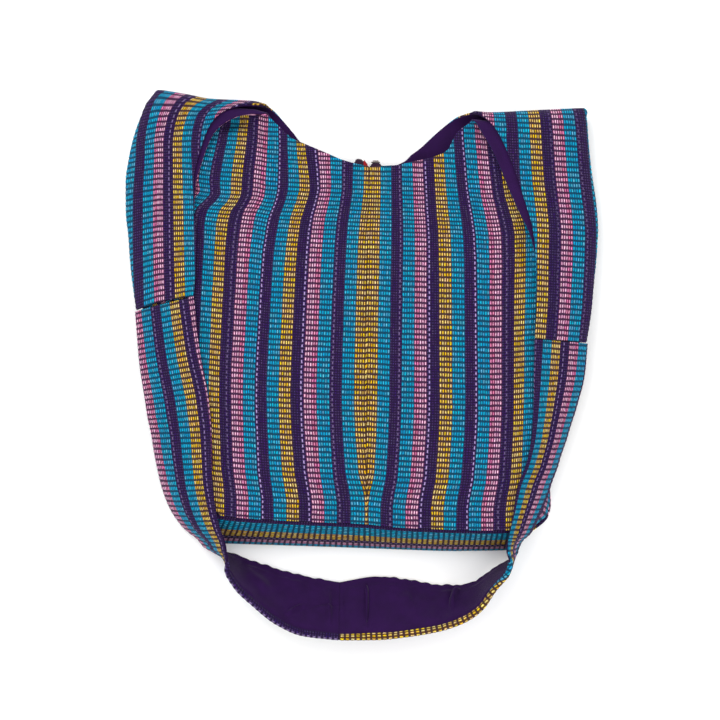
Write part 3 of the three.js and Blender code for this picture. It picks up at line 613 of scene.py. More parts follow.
# The solid model's origin is the middle of the whole bag; the tables start at the bottom seam
back_low, back_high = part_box("back_panel_right")
front_low, front_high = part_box("front_panel_right")
ORIGIN = np.array([front_low[0] - (SEAM_X + GAP / 2), back_low[1], back_low[2]])
print("the tables' zero is at", ORIGIN.round(4), "in the frame")

# %% [markdown]
# ## Materials
#
# The cloth is a warp-faced rib. Coloured warp threads float over a thick weft and show as rows of
# short upright dashes, five to a stripe. Between the rows they dive under it, and the ground there is
# coloured dark, partly for the weft and partly as painted shade between the ribs. So one material
# reads the cloth map: ramps across the stripes give the colours of the float, of the cloth beside it
# and of the ground with its painted shade, and two waves place the dashes. The purple is finer, and a
# few single lilac threads in it float between the ribs.

# %% Node helpers
def linear(hex_colour):
    """A colour as linear light from its sRGB hex value."""
    channels = [int(hex_colour[i : i + 2], 16) / 255 for i in (1, 3, 5)]
    return [c / 12.92 if c <= 0.04045 else ((c + 0.055) / 1.055) ** 2.4 for c in channels] + [1]


def new_material(name):
    material = bpy.data.materials.new(name)
    material.use_nodes = True
    tree = material.node_tree
    tree.nodes.clear()
    shader = tree.nodes.new("ShaderNodeBsdfPrincipled")
    output = tree.nodes.new("ShaderNodeOutputMaterial")
    tree.links.new(shader.outputs[0], output.inputs[0])
    return material, tree, shader


def add_node(tree, kind, settings=None, inputs=None):
    """Adds one node. settings are its properties, inputs its values or the sockets that feed them."""
    node = tree.nodes.new(kind)
    for key, value in (settings or {}).items():
        setattr(node, key, value)
    for key, value in (inputs or {}).items():
        if isinstance(value, bpy.types.NodeSocket):
            tree.links.new(value, node.inputs[key])
        else:
            node.inputs[key].default_value = value
    return node


def math_node(tree, operation, a, b=0.0, clamp=False):
    node = add_node(tree, "ShaderNodeMath", {"operation": operation, "use_clamp": clamp}, {0: a, 1: b})
    return node.outputs[0]


def pulse(tree, value, period, offset, narrow, wide):
    """1 in the middle of each period and 0 between, with soft edges."""
    phase = math_node(tree, "ADD", math_node(tree, "DIVIDE", value, period), offset)
    away = math_node(tree, "MULTIPLY", math_node(tree, "ABSOLUTE", math_node(tree, "SUBTRACT", math_node(tree, "FRACT", phase), 0.5)), 2.0)
    ramp = add_node(tree, "ShaderNodeMapRange", {"interpolation_type": "SMOOTHSTEP"}, {0: away, 1: narrow, 2: wide, 3: 1.0, 4: 0.0})
    return ramp.outputs[0]


# %% Striped cotton
# Stripes of one repeat: where each ends, then the colours of its floats, of the cloth between them
# and of the ground between the ribs, which is partly painted shade, and 1 where the weave is fine
STRIPES = (
    (1 / 6, "#fddc7c", "#6b481e", "#432c30", 0),
    (2 / 6, "#2bb4dd", "#046488", "#08445f", 0),
    (3 / 6, "#483669", "#2a1344", "#220f37", 1),
    (4 / 6, "#26b1da", "#046288", "#08425e", 0),
    (4.4 / 6, "#f3a6c8", "#7d2b56", "#451d3c", 0),
    (5 / 6, "#fccbe3", "#7a3a64", "#412243", 0),
    (1.0, "#453467", "#291343", "#210e36", 1),
)
DASH_PITCH = STRIPE * 1000 / 5
RIB_MM = RIB * 1000
# Single lilac threads in four repeats: their place in millimetres and how strongly they show. The
# front lies on the first two repeats and the ears on the last two, where the threads are faint
LILAC_REPEATS = 4
LILAC_THREADS = ((34.0, 0.3), (63.6, 0.85), (108.0, 0.85), (139.0, 0.25), (180.4, 0.2), (210.0, 0.15), (288.0, 0.45))
LILAC_HALF = 0.55


def stripe_ramp(tree, position, which):
    ramp = add_node(tree, "ShaderNodeValToRGB", {}, {0: position})
    ramp.color_ramp.interpolation = "CONSTANT"
    elements = ramp.color_ramp.elements
    while len(elements) < len(STRIPES):
        elements.new(0.99)
    start = 0.0
    for element, stripe in zip(elements, STRIPES):
        value = stripe[which]
        element.position = start
        element.color = linear(value) if isinstance(value, str) else (value, value, value, 1)
        start = stripe[0]
    return ramp.outputs[0]


def mix_colour(tree, amount, first, second, blend="MIX"):
    settings = {"data_type": "RGBA", "blend_type": blend}
    return add_node(tree, "ShaderNodeMix", settings, {0: amount, 6: first, 7: second}).outputs[2]


def lilac_threads(tree, u):
    """How much of a lilac thread shows at each place across the cloth."""
    place = math_node(tree, "MULTIPLY", math_node(tree, "FRACT", math_node(tree, "DIVIDE", u, LILAC_REPEATS * REPEAT * 1000)), LILAC_REPEATS * REPEAT * 1000)
    total = 0.0
    for centre, strength in LILAC_THREADS:
        away = math_node(tree, "ABSOLUTE", math_node(tree, "SUBTRACT", place, centre))
        near = add_node(tree, "ShaderNodeMapRange", {"interpolation_type": "SMOOTHSTEP"},
                        {0: away, 1: LILAC_HALF * 0.6, 2: LILAC_HALF * 1.4, 3: strength, 4: 0.0})
        total = math_node(tree, "ADD", near.outputs[0], total)
    return total


def striped_cotton():
    material, tree, shader = new_material("striped_handwoven_cotton")
    uv = add_node(tree, "ShaderNodeUVMap", {"uv_map": "cloth_mm"})
    split = add_node(tree, "ShaderNodeSeparateXYZ", {}, {0: uv.outputs[0]})
    wobble = add_node(tree, "ShaderNodeTexNoise", {"noise_dimensions": "2D"},
                      {"Vector": uv.outputs[0], "Scale": 0.16, "Detail": 2.0})
    drift = math_node(tree, "SUBTRACT", wobble.outputs[0], 0.5)
    u = math_node(tree, "ADD", split.outputs[0], math_node(tree, "MULTIPLY", drift, 0.9))
    v = math_node(tree, "ADD", split.outputs[1], math_node(tree, "MULTIPLY", drift, 1.2))
    position = math_node(tree, "FRACT", math_node(tree, "DIVIDE", u, REPEAT * 1000))
    floats, beside, ground_and_rib_shade, fine = (stripe_ramp(tree, position, which) for which in (1, 2, 3, 4))

    rib_row = pulse(tree, v, RIB_MM, 0.5, 0.36, 0.76)
    fine_row = pulse(tree, v, RIB_MM / 2, 0.0, 0.2, 0.8)
    row = add_node(tree, "ShaderNodeMix", {}, {0: fine, 2: rib_row, 3: fine_row}).outputs[0]
    dash = pulse(tree, u, DASH_PITCH, 0.0, 0.14, 0.64)
    cell = add_node(tree, "ShaderNodeCombineXYZ", {}, {
        0: math_node(tree, "FLOOR", math_node(tree, "DIVIDE", u, DASH_PITCH)),
        1: math_node(tree, "FLOOR", math_node(tree, "ADD", math_node(tree, "DIVIDE", v, RIB_MM), 0.5)),
    })
    chance = add_node(tree, "ShaderNodeTexWhiteNoise", {"noise_dimensions": "2D"}, {"Vector": cell.outputs[0]})
    chances = add_node(tree, "ShaderNodeSeparateColor", {}, {0: chance.outputs[1]})
    cloud = add_node(tree, "ShaderNodeTexNoise", {"noise_dimensions": "2D"},
                     {"Vector": uv.outputs[0], "Scale": 0.045, "Detail": 1.0})
    hue = math_node(tree, "ADD", math_node(tree, "MULTIPLY", chances.outputs[0], 0.035),
                    math_node(tree, "MULTIPLY", cloud.outputs[0], 0.03))
    varied = add_node(tree, "ShaderNodeHueSaturation", {}, {
        "Hue": math_node(tree, "ADD", hue, 0.467),
        "Saturation": math_node(tree, "ADD", math_node(tree, "MULTIPLY", chances.outputs[1], 0.5), 0.8),
        "Value": math_node(tree, "ADD", math_node(tree, "MULTIPLY", chances.outputs[2], 0.5), 0.78),
        "Color": floats,
    })
    # Between the rib rows the colour is the dark ground, partly the weft and partly painted shade between the ribs
    colour = mix_colour(tree, row, ground_and_rib_shade, beside)
    amount = math_node(tree, "MULTIPLY", row, dash)
    colour = mix_colour(tree, amount, colour, varied.outputs[0])
    lilac_row = pulse(tree, v, RIB_MM, 0.0, 0.3, 0.75)
    lilac = math_node(tree, "MULTIPLY", lilac_threads(tree, u), lilac_row)
    colour = mix_colour(tree, lilac, colour, linear("#c9aeea"))
    specks = add_node(tree, "ShaderNodeTexNoise", {"noise_dimensions": "2D"},
                      {"Vector": uv.outputs[0], "Scale": 0.9, "Detail": 2.0})
    dark = add_node(tree, "ShaderNodeMapRange", {}, {0: specks.outputs[0], 1: 0.3, 2: 0.7, 3: 0.48, 4: 0.94})
    shade = add_node(tree, "ShaderNodeCombineColor", {}, {0: dark.outputs[0], 1: dark.outputs[0], 2: dark.outputs[0]})
    colour = mix_colour(tree, 1.0, colour, shade.outputs[0], "MULTIPLY")

    fibre = add_node(tree, "ShaderNodeTexNoise", {"noise_dimensions": "2D"},
                     {"Vector": uv.outputs[0], "Scale": 1.6, "Detail": 3.0})
    height = math_node(tree, "ADD", math_node(tree, "MULTIPLY", amount, 0.55),
                       math_node(tree, "MULTIPLY", fibre.outputs[0], 0.35))
    height = math_node(tree, "ADD", height, math_node(tree, "MULTIPLY", row, 0.35))
    bump = add_node(tree, "ShaderNodeBump", {}, {"Strength": 0.8, "Distance": 0.0007, "Height": height})
    tree.links.new(colour, shader.inputs["Base Color"])
    tree.links.new(bump.outputs[0], shader.inputs["Normal"])
    shader.inputs["Roughness"].default_value = 0.82
    shader.inputs["Specular IOR Level"].default_value = 0.12
    shader.inputs["Sheen Weight"].default_value = 0.02
    shader.inputs["Sheen Roughness"].default_value = 0.5
    return material


# %% Plain cotton and the zip's materials
def plain_cotton(name, dark, light, thread, sheen, patch=None):
    """Fine plain weave, read from the cloth map, with a patch of another colour where one is given."""
    material, tree, shader = new_material(name)
    uv = add_node(tree, "ShaderNodeUVMap", {"uv_map": "cloth_mm"})
    split = add_node(tree, "ShaderNodeSeparateXYZ", {}, {0: uv.outputs[0]})
    weave = math_node(tree, "MULTIPLY", pulse(tree, split.outputs[0], thread, 0.0, 0.1, 0.9), pulse(tree, split.outputs[1], thread, 0.0, 0.1, 0.9))
    cloud = add_node(tree, "ShaderNodeTexNoise", {"noise_dimensions": "2D"}, {"Vector": uv.outputs[0], "Scale": 0.05, "Detail": 4.0, "Roughness": 0.6})
    colour = add_node(tree, "ShaderNodeMix", {"data_type": "RGBA"}, {0: cloud.outputs[0], 6: linear(dark), 7: linear(light)})
    shown = colour.outputs[2]
    if patch:
        start, end, patch_colour = patch
        away = math_node(tree, "ABSOLUTE", math_node(tree, "SUBTRACT", split.outputs[1], (start + end) / 2))
        inside = math_node(tree, "LESS_THAN", away, (end - start) / 2)
        shown = mix_colour(tree, inside, shown, linear(patch_colour))
    tree.links.new(shown, shader.inputs["Base Color"])
    height = math_node(tree, "ADD", math_node(tree, "MULTIPLY", weave, 0.3), cloud.outputs[0])
    bump = add_node(tree, "ShaderNodeBump", {}, {"Strength": 0.35, "Distance": 0.0006, "Height": height})
    tree.links.new(bump.outputs[0], shader.inputs["Normal"])
    shader.inputs["Roughness"].default_value = 0.78
    shader.inputs["Specular IOR Level"].default_value = 0.12
    shader.inputs["Sheen Weight"].default_value = sheen
    shader.inputs["Sheen Roughness"].default_value = 0.45
    return material


def worn_metal():
    material, tree, shader = new_material("worn_zip_metal")
    place = add_node(tree, "ShaderNodeTexCoord")
    grain = add_node(tree, "ShaderNodeTexNoise", {}, {"Vector": place.outputs["Object"], "Scale": 900.0, "Detail": 3.0})
    colour = add_node(tree, "ShaderNodeMix", {"data_type": "RGBA"}, {0: grain.outputs[0], 6: linear("#4b4548"), 7: linear("#a79f9a")})
    tree.links.new(colour.outputs[2], shader.inputs["Base Color"])
    shader.inputs["Metallic"].default_value = 1.0
    shader.inputs["Roughness"].default_value = 0.38
    return material


WOVEN = striped_cotton()
PLAIN = plain_cotton("plain_purple_cotton", "#1e0530", "#2b0944", 0.55, 0.05)
TAPE_CLOTH = plain_cotton("zip_tape_cotton", "#1b0f22", "#33162c", 0.8, 0.1, (1.2, 5.6, "#8e0f16"))
METAL = worn_metal()
print("materials:", [m.name for m in (WOVEN, PLAIN, TAPE_CLOTH, METAL)])

# %% [markdown]
# ## Front and back panels
#
# A panel goes up from the bottom, round the top fold and forward again as an ear. Its rows are a
# quarter of a rib apart, so the ribs are real in the mesh.

# %% Panel rows and columns
ROW_STEP = RIB / 4
COLUMN_STEP = 0.0045


def fold_rows(length, radius):
    """Shares of a length for the rows that turn round a fold."""
    turns = np.radians(np.arange(90, -1, -9))
    return 1 - radius * (1 - np.cos(turns)) / length


def ear_plan(side, along, share, inner_by, outer_by, top, length):
    """Where an ear's cloth lies in plan: share is 0 at its inner edge and 1 at its outer edge."""
    rows = EARS[side]
    inner = side * HALF * curve(rows, "along", "inner")(along)
    outer = inner + side * STRAP_WIDTH * curve(rows, "along", "wide")(along)
    x = lerp(inner - side * inner_by, outer - side * outer_by, share)
    drop = lerp(curve(rows, "along", "drop")(along), along, share)
    return x, top(x) - drop * length, np.abs(outer - x)


def front_stripe_u(side, x, up):
    """Cloth position across the front, in metres from the centre seam."""
    away = side * (x - SEAM_X)
    edges = [HALF * curve(FRONT_STRIPES, "up", f"{SIDE_NAME[side]}_{k}")(up) for k in FRONT_EDGES]
    number = FRONT_EDGES[0] + (away - edges[0]) / (edges[1] - edges[0]) * (FRONT_EDGES[1] - FRONT_EDGES[0])
    for k in range(1, len(FRONT_EDGES) - 1):
        part = (away - edges[k]) / (edges[k + 1] - edges[k])
        number = np.where(away > edges[k], lerp(FRONT_EDGES[k], FRONT_EDGES[k + 1], part), number)
    return number * STRIPE + np.maximum(0, away - edges[-1]) * 0.12


def ear_stripe_u(side, x, along):
    rows = EAR_STRIPES[side]
    at = side * HALF * curve(rows, "along", "at")(along)
    pitch = curve(rows, "along", "pitch")(along)
    return EAR_EDGE_NUMBER[side] * STRIPE - side * (x - at) / pitch


def rib_v(points, ups):
    """Cloth position along the ribs' count, a little crowded where the cloth sags."""
    steps = np.diff(row_lengths(points, (1, 2)))
    crowd = curve(RIB_CROWD, "up", "crowd")(np.minimum(ups, 1))
    return np.concatenate([[0], np.cumsum(steps * (crowd[:-1] + crowd[1:]) / 2)])


def hemmed(shares, width):
    """The shares with a few more beside each end, for the round of the hem."""
    near = np.array([0, 0.0004, 0.001]) / width
    return np.concatenate([near, shares[1:-1], 1 - near[::-1]])


def panel_shares():
    inner = np.linspace(0, 1, int(0.2 / COLUMN_STEP))
    return hemmed(lerp(inner, 1 - (1 - inner) ** 1.5, 0.25), HALF)


# %% Front panels
def front_panel(side):
    shares = panel_shares()
    radius = FRONT_FOLD_RADIUS
    body_length = BODY_LENGTH * 0.94
    ups = np.concatenate([spread(0, 1 - radius / body_length, ROW_STEP / body_length)[:-1], fold_rows(body_length, radius)])
    up, share = ups[:, None], shares[None, :]
    x = lerp(mouth_x(FRONT_MOUTH, side, up), side_x(side, up, "seam"), share)
    y = lerp(lower_seam_y(x), front_fold_y(x), up)
    depth = front_fold_y(x) - y
    calm = smoothstep(depth, 0, 0.03)
    z = front_z(x, y) + radius * (1 - round_edge(depth, radius)) + crease_relief(x, y) * calm
    at_x, at_y, reach_x, reach_y, deep = ARCH_HOLLOW
    z = z - deep * np.exp(-(((x - at_x) / reach_x) ** 2) - ((y - at_y) / reach_y) ** 2)
    body = np.stack([x, y, z], -1)
    body_u = front_stripe_u(side, x, up)

    length = EAR_LENGTH[side] - FRONT_FOLD_DROP
    turns = np.radians(np.arange(9, 91, 9))
    alongs = np.concatenate([radius * (1 - np.cos(turns)) / length, spread(0.04, 1, 2 * ROW_STEP / length)])
    along = alongs[:, None]
    show = curve(EARS[side], "along", "show")(along) * SHOW[side]
    x, y, inside = ear_plan(side, along, share, show, EAR_INSET, front_fold_y, length)
    turned = round_edge(front_fold_y(x) - y, radius)
    z = lerp(front_z(x, y) + radius, flap_z(x, y), turned) - droop(inside, EAR_REACH, EAR_DROOP) * turned
    ear = np.stack([x, y, z], -1)
    points = np.concatenate([body, ear])
    u = np.concatenate([body_u, np.repeat(body_u[-1:], len(alongs), axis=0)])
    v = np.repeat(rib_v(points, np.concatenate([ups, alongs + 1]))[:, None], len(shares), axis=1)
    return points, u, v, ups, alongs


# %% Back panels
ROLL = 2.6
SEAM_TUCK = 0.0006  # the ends that are sewn together dip into their seam
SEAM_TUCK_REACH = 0.0026


def roll_edge(side, points, amount, columns):
    """Rolls the last columns round a small radius, towards the inside of the fold."""
    start = points.shape[1] - columns - 1
    last = points[:, -1].copy()
    outward = last - points[:, start]
    outward = outward / np.linalg.norm(outward, axis=1, keepdims=True)
    along = np.gradient(points[:, start], axis=0)
    inward = np.cross(outward, along) * side
    inward = inward / np.linalg.norm(inward, axis=1, keepdims=True)
    for k in range(1, columns + 1):
        turn = ROLL * k / columns
        rolled = last + outward * EDGE_ROLL * (math.sin(turn) - 1) + inward * EDGE_ROLL * (1 - math.cos(turn))
        place = start + k
        points[:, place] = lerp(points[:, place], rolled, amount[:, None])
    return points


def back_panel(side):
    flat = panel_shares()
    shares = np.concatenate([flat[:-5] * 0.97, 1 - 0.03 * (1 - np.arange(1, 9) / 8)])
    reference = side * HALF
    radius = float(fold_radius(reference))
    length = float(fold_y(reference))
    ups = np.concatenate([spread(0, 1 - radius / length, ROW_STEP / length)[:-1], fold_rows(length, radius)])
    up, share = ups[:, None], shares[None, :]
    x = lerp(mouth_x(BACK_MOUTH, side, up), side_x(side, up, "floor"), share)
    y = up * fold_y(x) + (lower_edge_y(x) + BACK_UNDER) * (1 - smoothstep(up, 0, 0.08))
    local = fold_radius(x)
    z = BACK_Z + local * (1 - round_edge(fold_y(x) - y, local))
    body = np.stack([x, y, z], -1)
    body_u = ear_stripe_u(side, x, np.zeros_like(x))

    ear_length = EAR_LENGTH[side]
    turns = np.radians(np.arange(9, 91, 9))
    alongs = np.concatenate([radius * (1 - np.cos(turns)) / ear_length, spread(radius / ear_length, 1, ROW_STEP / ear_length)[1:]])
    along = alongs[:, None]
    x, y, inside = ear_plan(side, along, share, 0, 0, fold_y, ear_length)
    turned = round_edge(fold_y(x) - y, fold_radius(x))
    z = lerp(fold_middle_z(x), ear_z(x, y), turned) - droop(inside, EAR_REACH, EAR_DROOP) * turned
    z = z + 0.0005 * soft_noise(x, y, 0.06, 5 + side) * turned
    z = z - SEAM_TUCK * (1 - round_edge((1 - along) * ear_length, SEAM_TUCK_REACH))
    ear = np.stack([x, y, z], -1)
    points = np.concatenate([body, ear])
    amount = np.concatenate([smoothstep(ups, 1 - radius / length, 1), np.ones(len(alongs))])
    points = roll_edge(side, points, amount, 8)
    u = np.concatenate([body_u, ear_stripe_u(side, x, along)])
    v = np.repeat(row_lengths(points, (1, 2))[:, None], len(shares), axis=1)
    return points, u, v, ups, alongs


# %% Making the panels and the lining that shows
def outward(side, *arrays):
    """Rows run from -X to +X, so the left side's columns are turned round."""
    return [a[:, ::-1] if side == LEFT else a for a in arrays]


made = {}


def keep(piece, slot, *nodes):
    """Lets a piece stand for its solids: it rides on the bag and hides them. The slot is not used."""
    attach(piece, "root")
    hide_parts(*nodes)
    made[piece.name] = piece
    return piece


for side in (LEFT, RIGHT):
    name = SIDE_NAME[side]
    points, u, v, ups, alongs = front_panel(side)
    rows_to_mouth = int(np.searchsorted(ups, MOUTH_LINING))
    points, u, v = outward(side, points, u, v)
    piece = cloth(f"front_panel_{name}_cloth", WOVEN, cloth_wall(points, (u, v), -CLOTH / 2, CLOTH / 2, RIB_HEIGHT))
    keep(piece, "woven_cotton", f"front_panel_{name}")
    inside = slice(rows_to_mouth, len(points) - 6)
    count = int(0.72 * points.shape[1])
    part = slice(points.shape[1] - count, None) if side == LEFT else slice(0, count)
    every = (inside, part)
    wall = cloth_wall(points[every], (u[every], v[every]), -LINING_INSIDE - LINING, -LINING_INSIDE)
    lining = cloth(f"lining_front_{name}_cloth", PLAIN, wall)
    keep(lining, "lining_cotton", f"lining_front_{name}")

    points, u, v, ups, alongs = back_panel(side)
    rows_to_mouth = int(np.searchsorted(ups, MOUTH_LINING))
    points, u, v = outward(side, points, u, v)
    piece = cloth(f"back_panel_{name}_cloth", WOVEN, cloth_wall(points, (u, v), -CLOTH / 2, CLOTH / 2, RIB_HEIGHT))
    keep(piece, "woven_cotton", f"back_panel_{name}")
    inside = slice(rows_to_mouth, len(ups) + 14)
    every = (inside, part)
    wall = cloth_wall(points[every], (u[every], v[every]), LINING_INSIDE, LINING_INSIDE + LINING)
    lining = cloth(f"lining_back_{name}_cloth", PLAIN, wall)
    keep(lining, "lining_cotton", f"lining_back_{name}")
print("panels:", {name: len(piece.data.polygons) for name, piece in made.items()})

# %% [markdown]
# ## The strap
#
# The strap is one broad band. Off the ear it lies flat on the bag with its stripes up. At the
# lower corner it turns on edge, goes down to the floor and leans outward, so the loop shows its
# lining.

# %% Straps
LOOP_CREASES = table(
    "from_x from_y to_x to_y width height",
    (0.0045, -0.040, 0.0045, -0.074, 0.0017, -0.0018),
    (-0.072, -0.066, -0.045, -0.058, 0.0014, -0.0010),
    (-0.045, -0.060, -0.018, -0.058, 0.0014, -0.0010),
    (0.0945, -0.038, 0.085, -0.060, 0.0032, -0.0018),
    (-0.122, -0.016, -0.100, -0.052, 0.0060, -0.0022),
    (0.045, -0.042, 0.056, -0.072, 0.0050, -0.0012),
    (-0.020, -0.042, -0.018, -0.076, 0.0013, -0.0008),
    (0.118, -0.030, 0.126, -0.052, 0.0040, -0.0014),
)
# The lining is looser than the strap and stands off it in narrow folds
LINING_FOLDS = table(
    "from_x from_y to_x to_y width height",
    (0.0045, -0.038, 0.0045, -0.076, 0.0013, 0.0048),
    (-0.0755, -0.0640, -0.0620, -0.0580, 0.0012, 0.0034),
    (-0.0450, -0.0605, -0.0277, -0.0608, 0.0011, 0.0030),
    (-0.0200, -0.0640, -0.0165, -0.0560, 0.0011, 0.0030),
    (0.0967, -0.0417, 0.0900, -0.0589, 0.0026, 0.0046),
    (-0.1180, -0.0250, -0.0960, -0.0420, 0.0050, 0.0034),
    (0.0420, -0.0480, 0.0560, -0.0700, 0.0060, 0.0028),
    (-0.0360, -0.0480, -0.0320, -0.0730, 0.0030, 0.0024),
)
LINING_LOOSE = 0.0009
LOOP_SEAM_GAP = 0.00006
WRAP_FROM = 1.1  # the run from which the strap's own edge is turned over its lining
WRAP_WIDTH = 0.0042
WRAP_RADIUS = (LINING_INSIDE + LINING + GAP + CLOTH / 2) / 2


def strap_grid(side, rows_along=340, rows_across=21):
    rows = STRAPS[side]
    index = dict(rows, index=np.arange(len(rows["run"]), dtype=float))
    end_x, end_y, _ = ear_plan(side, np.array(1.0), np.array(0.0), 0, 0, fold_y, EAR_LENGTH[side])
    start_y = end_y - STRAP_SEAM
    stations = np.linspace(0, len(rows["run"]) - 1, rows_along)
    at = {column: curve(index, "index", column)(stations)[:, None] for column in rows}
    shares = hemmed(np.linspace(0, 1, rows_across), STRAP_WIDTH)[None, :]
    inner_x = side * HALF * at["inner"]
    inner_y = np.where(at["run"] < 1, lerp(start_y, 0, at["run"]), -(at["run"] - 1) * LOOP_DROP)
    seam_gap = np.zeros_like(at["run"])
    seam_gap[-1] = side * LOOP_SEAM_GAP
    settle = smoothstep(at["run"], 0, rows["run"][2])
    rest = lerp(FLAP_REST + EAR_CLEAR, STRAP_REST, settle)
    x = inner_x + side * STRAP_WIDTH * at["over"] * shares + seam_gap
    y = inner_y + STRAP_WIDTH * at["ahead"] * shares
    inside = (1 - shares) * STRAP_WIDTH
    hang = droop(inside, at["reach"] * STRAP_WIDTH, at["droop"] * GUSSET_DEPTH)
    lying = front_z(x, y) + rest - hang
    standing = LOOP_FLOOR + STRAP_WIDTH * at["rise"] * (1 - shares) ** LOOP_CURVE
    loose = 1 - at["hold"]
    z = lerp(standing, lying, at["hold"]) + crease_lines(LOOP_CREASES, x, y) * loose * smoothstep(shares, 0, 0.08)
    z = z - SEAM_TUCK * (1 - round_edge(start_y - y + STRAP_WIDTH * at["ahead"] * shares, SEAM_TUCK_REACH))
    y = y + 0.0008 * soft_noise(x, y, 0.011, 4) * loose * smoothstep(shares, 0.7, 1) * (1 - smoothstep(at["run"], 1.97, 1.99))
    points = np.stack([x, y, z], -1)
    start = curve(STRAP_STRIPES[side], "run", "start")(at["run"])
    across = curve(STRAP_STRIPES[side], "run", "across")(at["run"])
    u = (start + across * shares) * STRIPE
    v = np.repeat(row_lengths(points)[:, None], shares.shape[1], axis=1)
    return [a[::-1] for a in outward(side, points, u, v, np.repeat(at["run"], shares.shape[1], axis=1))]


def lining_puff(points, run):
    """How far the lining stands off the strap, which is nothing on the bag and at its own edges."""
    x, y = points[..., 0], points[..., 1]
    inside = smoothstep(edge_distance(points), 0.0055, 0.0105) * smoothstep(run, 1.12, 1.3)
    loose = LINING_LOOSE * (1 + soft_noise(x, y, 0.021, 7)) + crease_lines(LINING_FOLDS, x, y)
    return (inside * loose)[..., None]


def turned_edge(side, points, u, v, run):
    """The strap's edge in the loop, turned over its lining with a soft round."""
    kept = run[:, 0] > WRAP_FROM
    points, u, v, run = (a[kept] for a in (points, u, v, run))
    edge, within = (0, 3) if side == RIGHT else (-1, -4)
    normal = normals_of(points)[:, edge]
    start = points[:, edge]
    away = start - points[:, within]
    away = away / np.linalg.norm(away, axis=1, keepdims=True)
    width = WRAP_WIDTH * smoothstep(run[:, 0], WRAP_FROM, WRAP_FROM + 0.12)
    width = width * (1 + 0.16 * soft_noise(start[:, 0], start[:, 1], 0.05, 6))
    place = [start + away * WRAP_RADIUS * math.sin(t) - normal * WRAP_RADIUS * (1 - math.cos(t)) for t in np.radians(np.arange(6, 181, 29))]
    place += [start - normal * 2 * WRAP_RADIUS - away * (width * part)[:, None] for part in (0.25, 0.5, 0.75, 0.88, 1)]
    grid = np.stack(place, 1)
    lengths = np.concatenate([[0], np.cumsum(np.linalg.norm(np.diff(grid, axis=1), axis=2).mean(axis=0))])
    step = np.sign(u[:, edge] - u[:, within])[:, None]
    u = u[:, edge][:, None] + step * lengths[None, :]
    v = np.repeat(v[:, edge][:, None], grid.shape[1], axis=1)
    return (grid[:, ::-1], (u[:, ::-1], v)) if side == RIGHT else (grid, (u, v))


for side in (LEFT, RIGHT):
    name = SIDE_NAME[side]
    points, u, v, run = strap_grid(side)
    edge_points, edge_map = turned_edge(side, points, u, v, run)
    flat = cloth_wall(points, (u, v), -CLOTH / 2, CLOTH / 2, RIB_HEIGHT)
    piece = cloth(f"strap_{name}_cloth", WOVEN, flat, cloth_wall(edge_points, edge_map, -CLOTH / 2, CLOTH / 2, RIB_HEIGHT))
    keep(piece, "woven_cotton", f"strap_{name}")
    points, u, v, run = strap_grid(side, 560, 45)
    puff = lining_puff(points, run)
    wall = cloth_wall(points, (u, v), -LINING_INSIDE - LINING - puff, -LINING_INSIDE - puff)
    lining = cloth(f"strap_lining_{name}_cloth", PLAIN, wall)
    keep(lining, "lining_cotton", f"strap_lining_{name}")

# %% [markdown]
# ## The gusset
#
# One long strip, with its stripes running along it, goes round the sides and the bottom.

# %% Gusset pieces
SIDE_ROWS = [0.03, 0.07, 0.1, 0.14, 0.2, 0.28, 0.36, 0.45, 0.54, 0.63, 0.72, 0.8, 0.85]
BODY_SHARES = [0, 0.15, 0.31, 0.47, 0.63, 0.78, 0.9, 1]


def gusset_stations():
    """Seam and floor points of the gusset in plan, from the top left side round to the top right."""
    def along(side, up):
        seam = side_x(side, up, "seam")
        floor = side_x(side, up, "floor")
        return (seam, lerp(lower_seam_y(seam), front_fold_y(seam), up)), (floor, up * fold_y(floor))

    def bottom(side, share):
        seam = lerp(SEAM_X, side_x(side, 0, "seam"), share)
        floor = lerp(SEAM_X, side_x(side, 0, "floor"), share)
        return (seam, lower_seam_y(seam)), (floor, lower_edge_y(floor))

    stations = [along(LEFT, up) for up in reversed(SIDE_ROWS)]
    stations += [bottom(LEFT, share) for share in reversed(BODY_SHARES)]
    stations += [bottom(RIGHT, share) for share in BODY_SHARES[1:]]
    stations += [along(RIGHT, up) for up in SIDE_ROWS]
    corners = (len(SIDE_ROWS) - 0.5, len(stations) - len(SIDE_ROWS) - 0.5)
    return np.array(stations, float), corners


def gusset_piece(name, start, end):
    """One stretch of the gusset, between two places in the list of stations."""
    stations, _ = gusset_stations()
    places = np.arange(len(stations), dtype=float)
    lengths = np.concatenate([[0], np.cumsum(np.linalg.norm(np.diff(stations[:, 0], axis=0), axis=1))])
    from_length, to_length = np.interp([start, end], places, lengths)
    at_length = spread(from_length, to_length, ROW_STEP)
    seam = np.stack([np.interp(at_length, lengths, stations[:, 0, i]) for i in (0, 1)], -1)
    floor = np.stack([np.interp(at_length, lengths, stations[:, 1, i]) for i in (0, 1)], -1)
    section = hemmed(np.linspace(0, 1, 17), GUSSET_DEPTH)
    ends = np.linspace(0, 1, len(GUSSET_SECTION["out"]))
    out = np.interp(section, ends, GUSSET_SECTION["out"])[None, :, None]
    down = np.interp(section, ends, GUSSET_SECTION["down"])[None, :]
    plan = lerp(seam[:, None], floor[:, None], out)
    top = front_z(seam[:, 0], seam[:, 1])[:, None] - GUSSET_UNDER - GAP
    z = lerp(top, GUSSET_OVER + GAP, down)
    points = np.concatenate([plan, z[..., None]], -1)
    u = np.repeat(curve(GUSSET_STRIPES, "share", "at")(section[None, :]) * STRIPE, len(points), axis=0)
    v = np.repeat(at_length[:, None], len(section), axis=1)
    piece = cloth(f"{name}_cloth", WOVEN, cloth_wall(points, (u, v), -CLOTH / 2, CLOTH / 2, RIB_HEIGHT))
    keep(piece, "woven_cotton", name)
    return piece


stations, (left_corner, right_corner) = gusset_stations()
small = 0.006
gusset_piece("side_gusset_left", 0, left_corner - small)
gusset_piece("bottom_gusset", left_corner + small, right_corner - small)
gusset_piece("side_gusset_right", right_corner + small, len(stations) - 1)


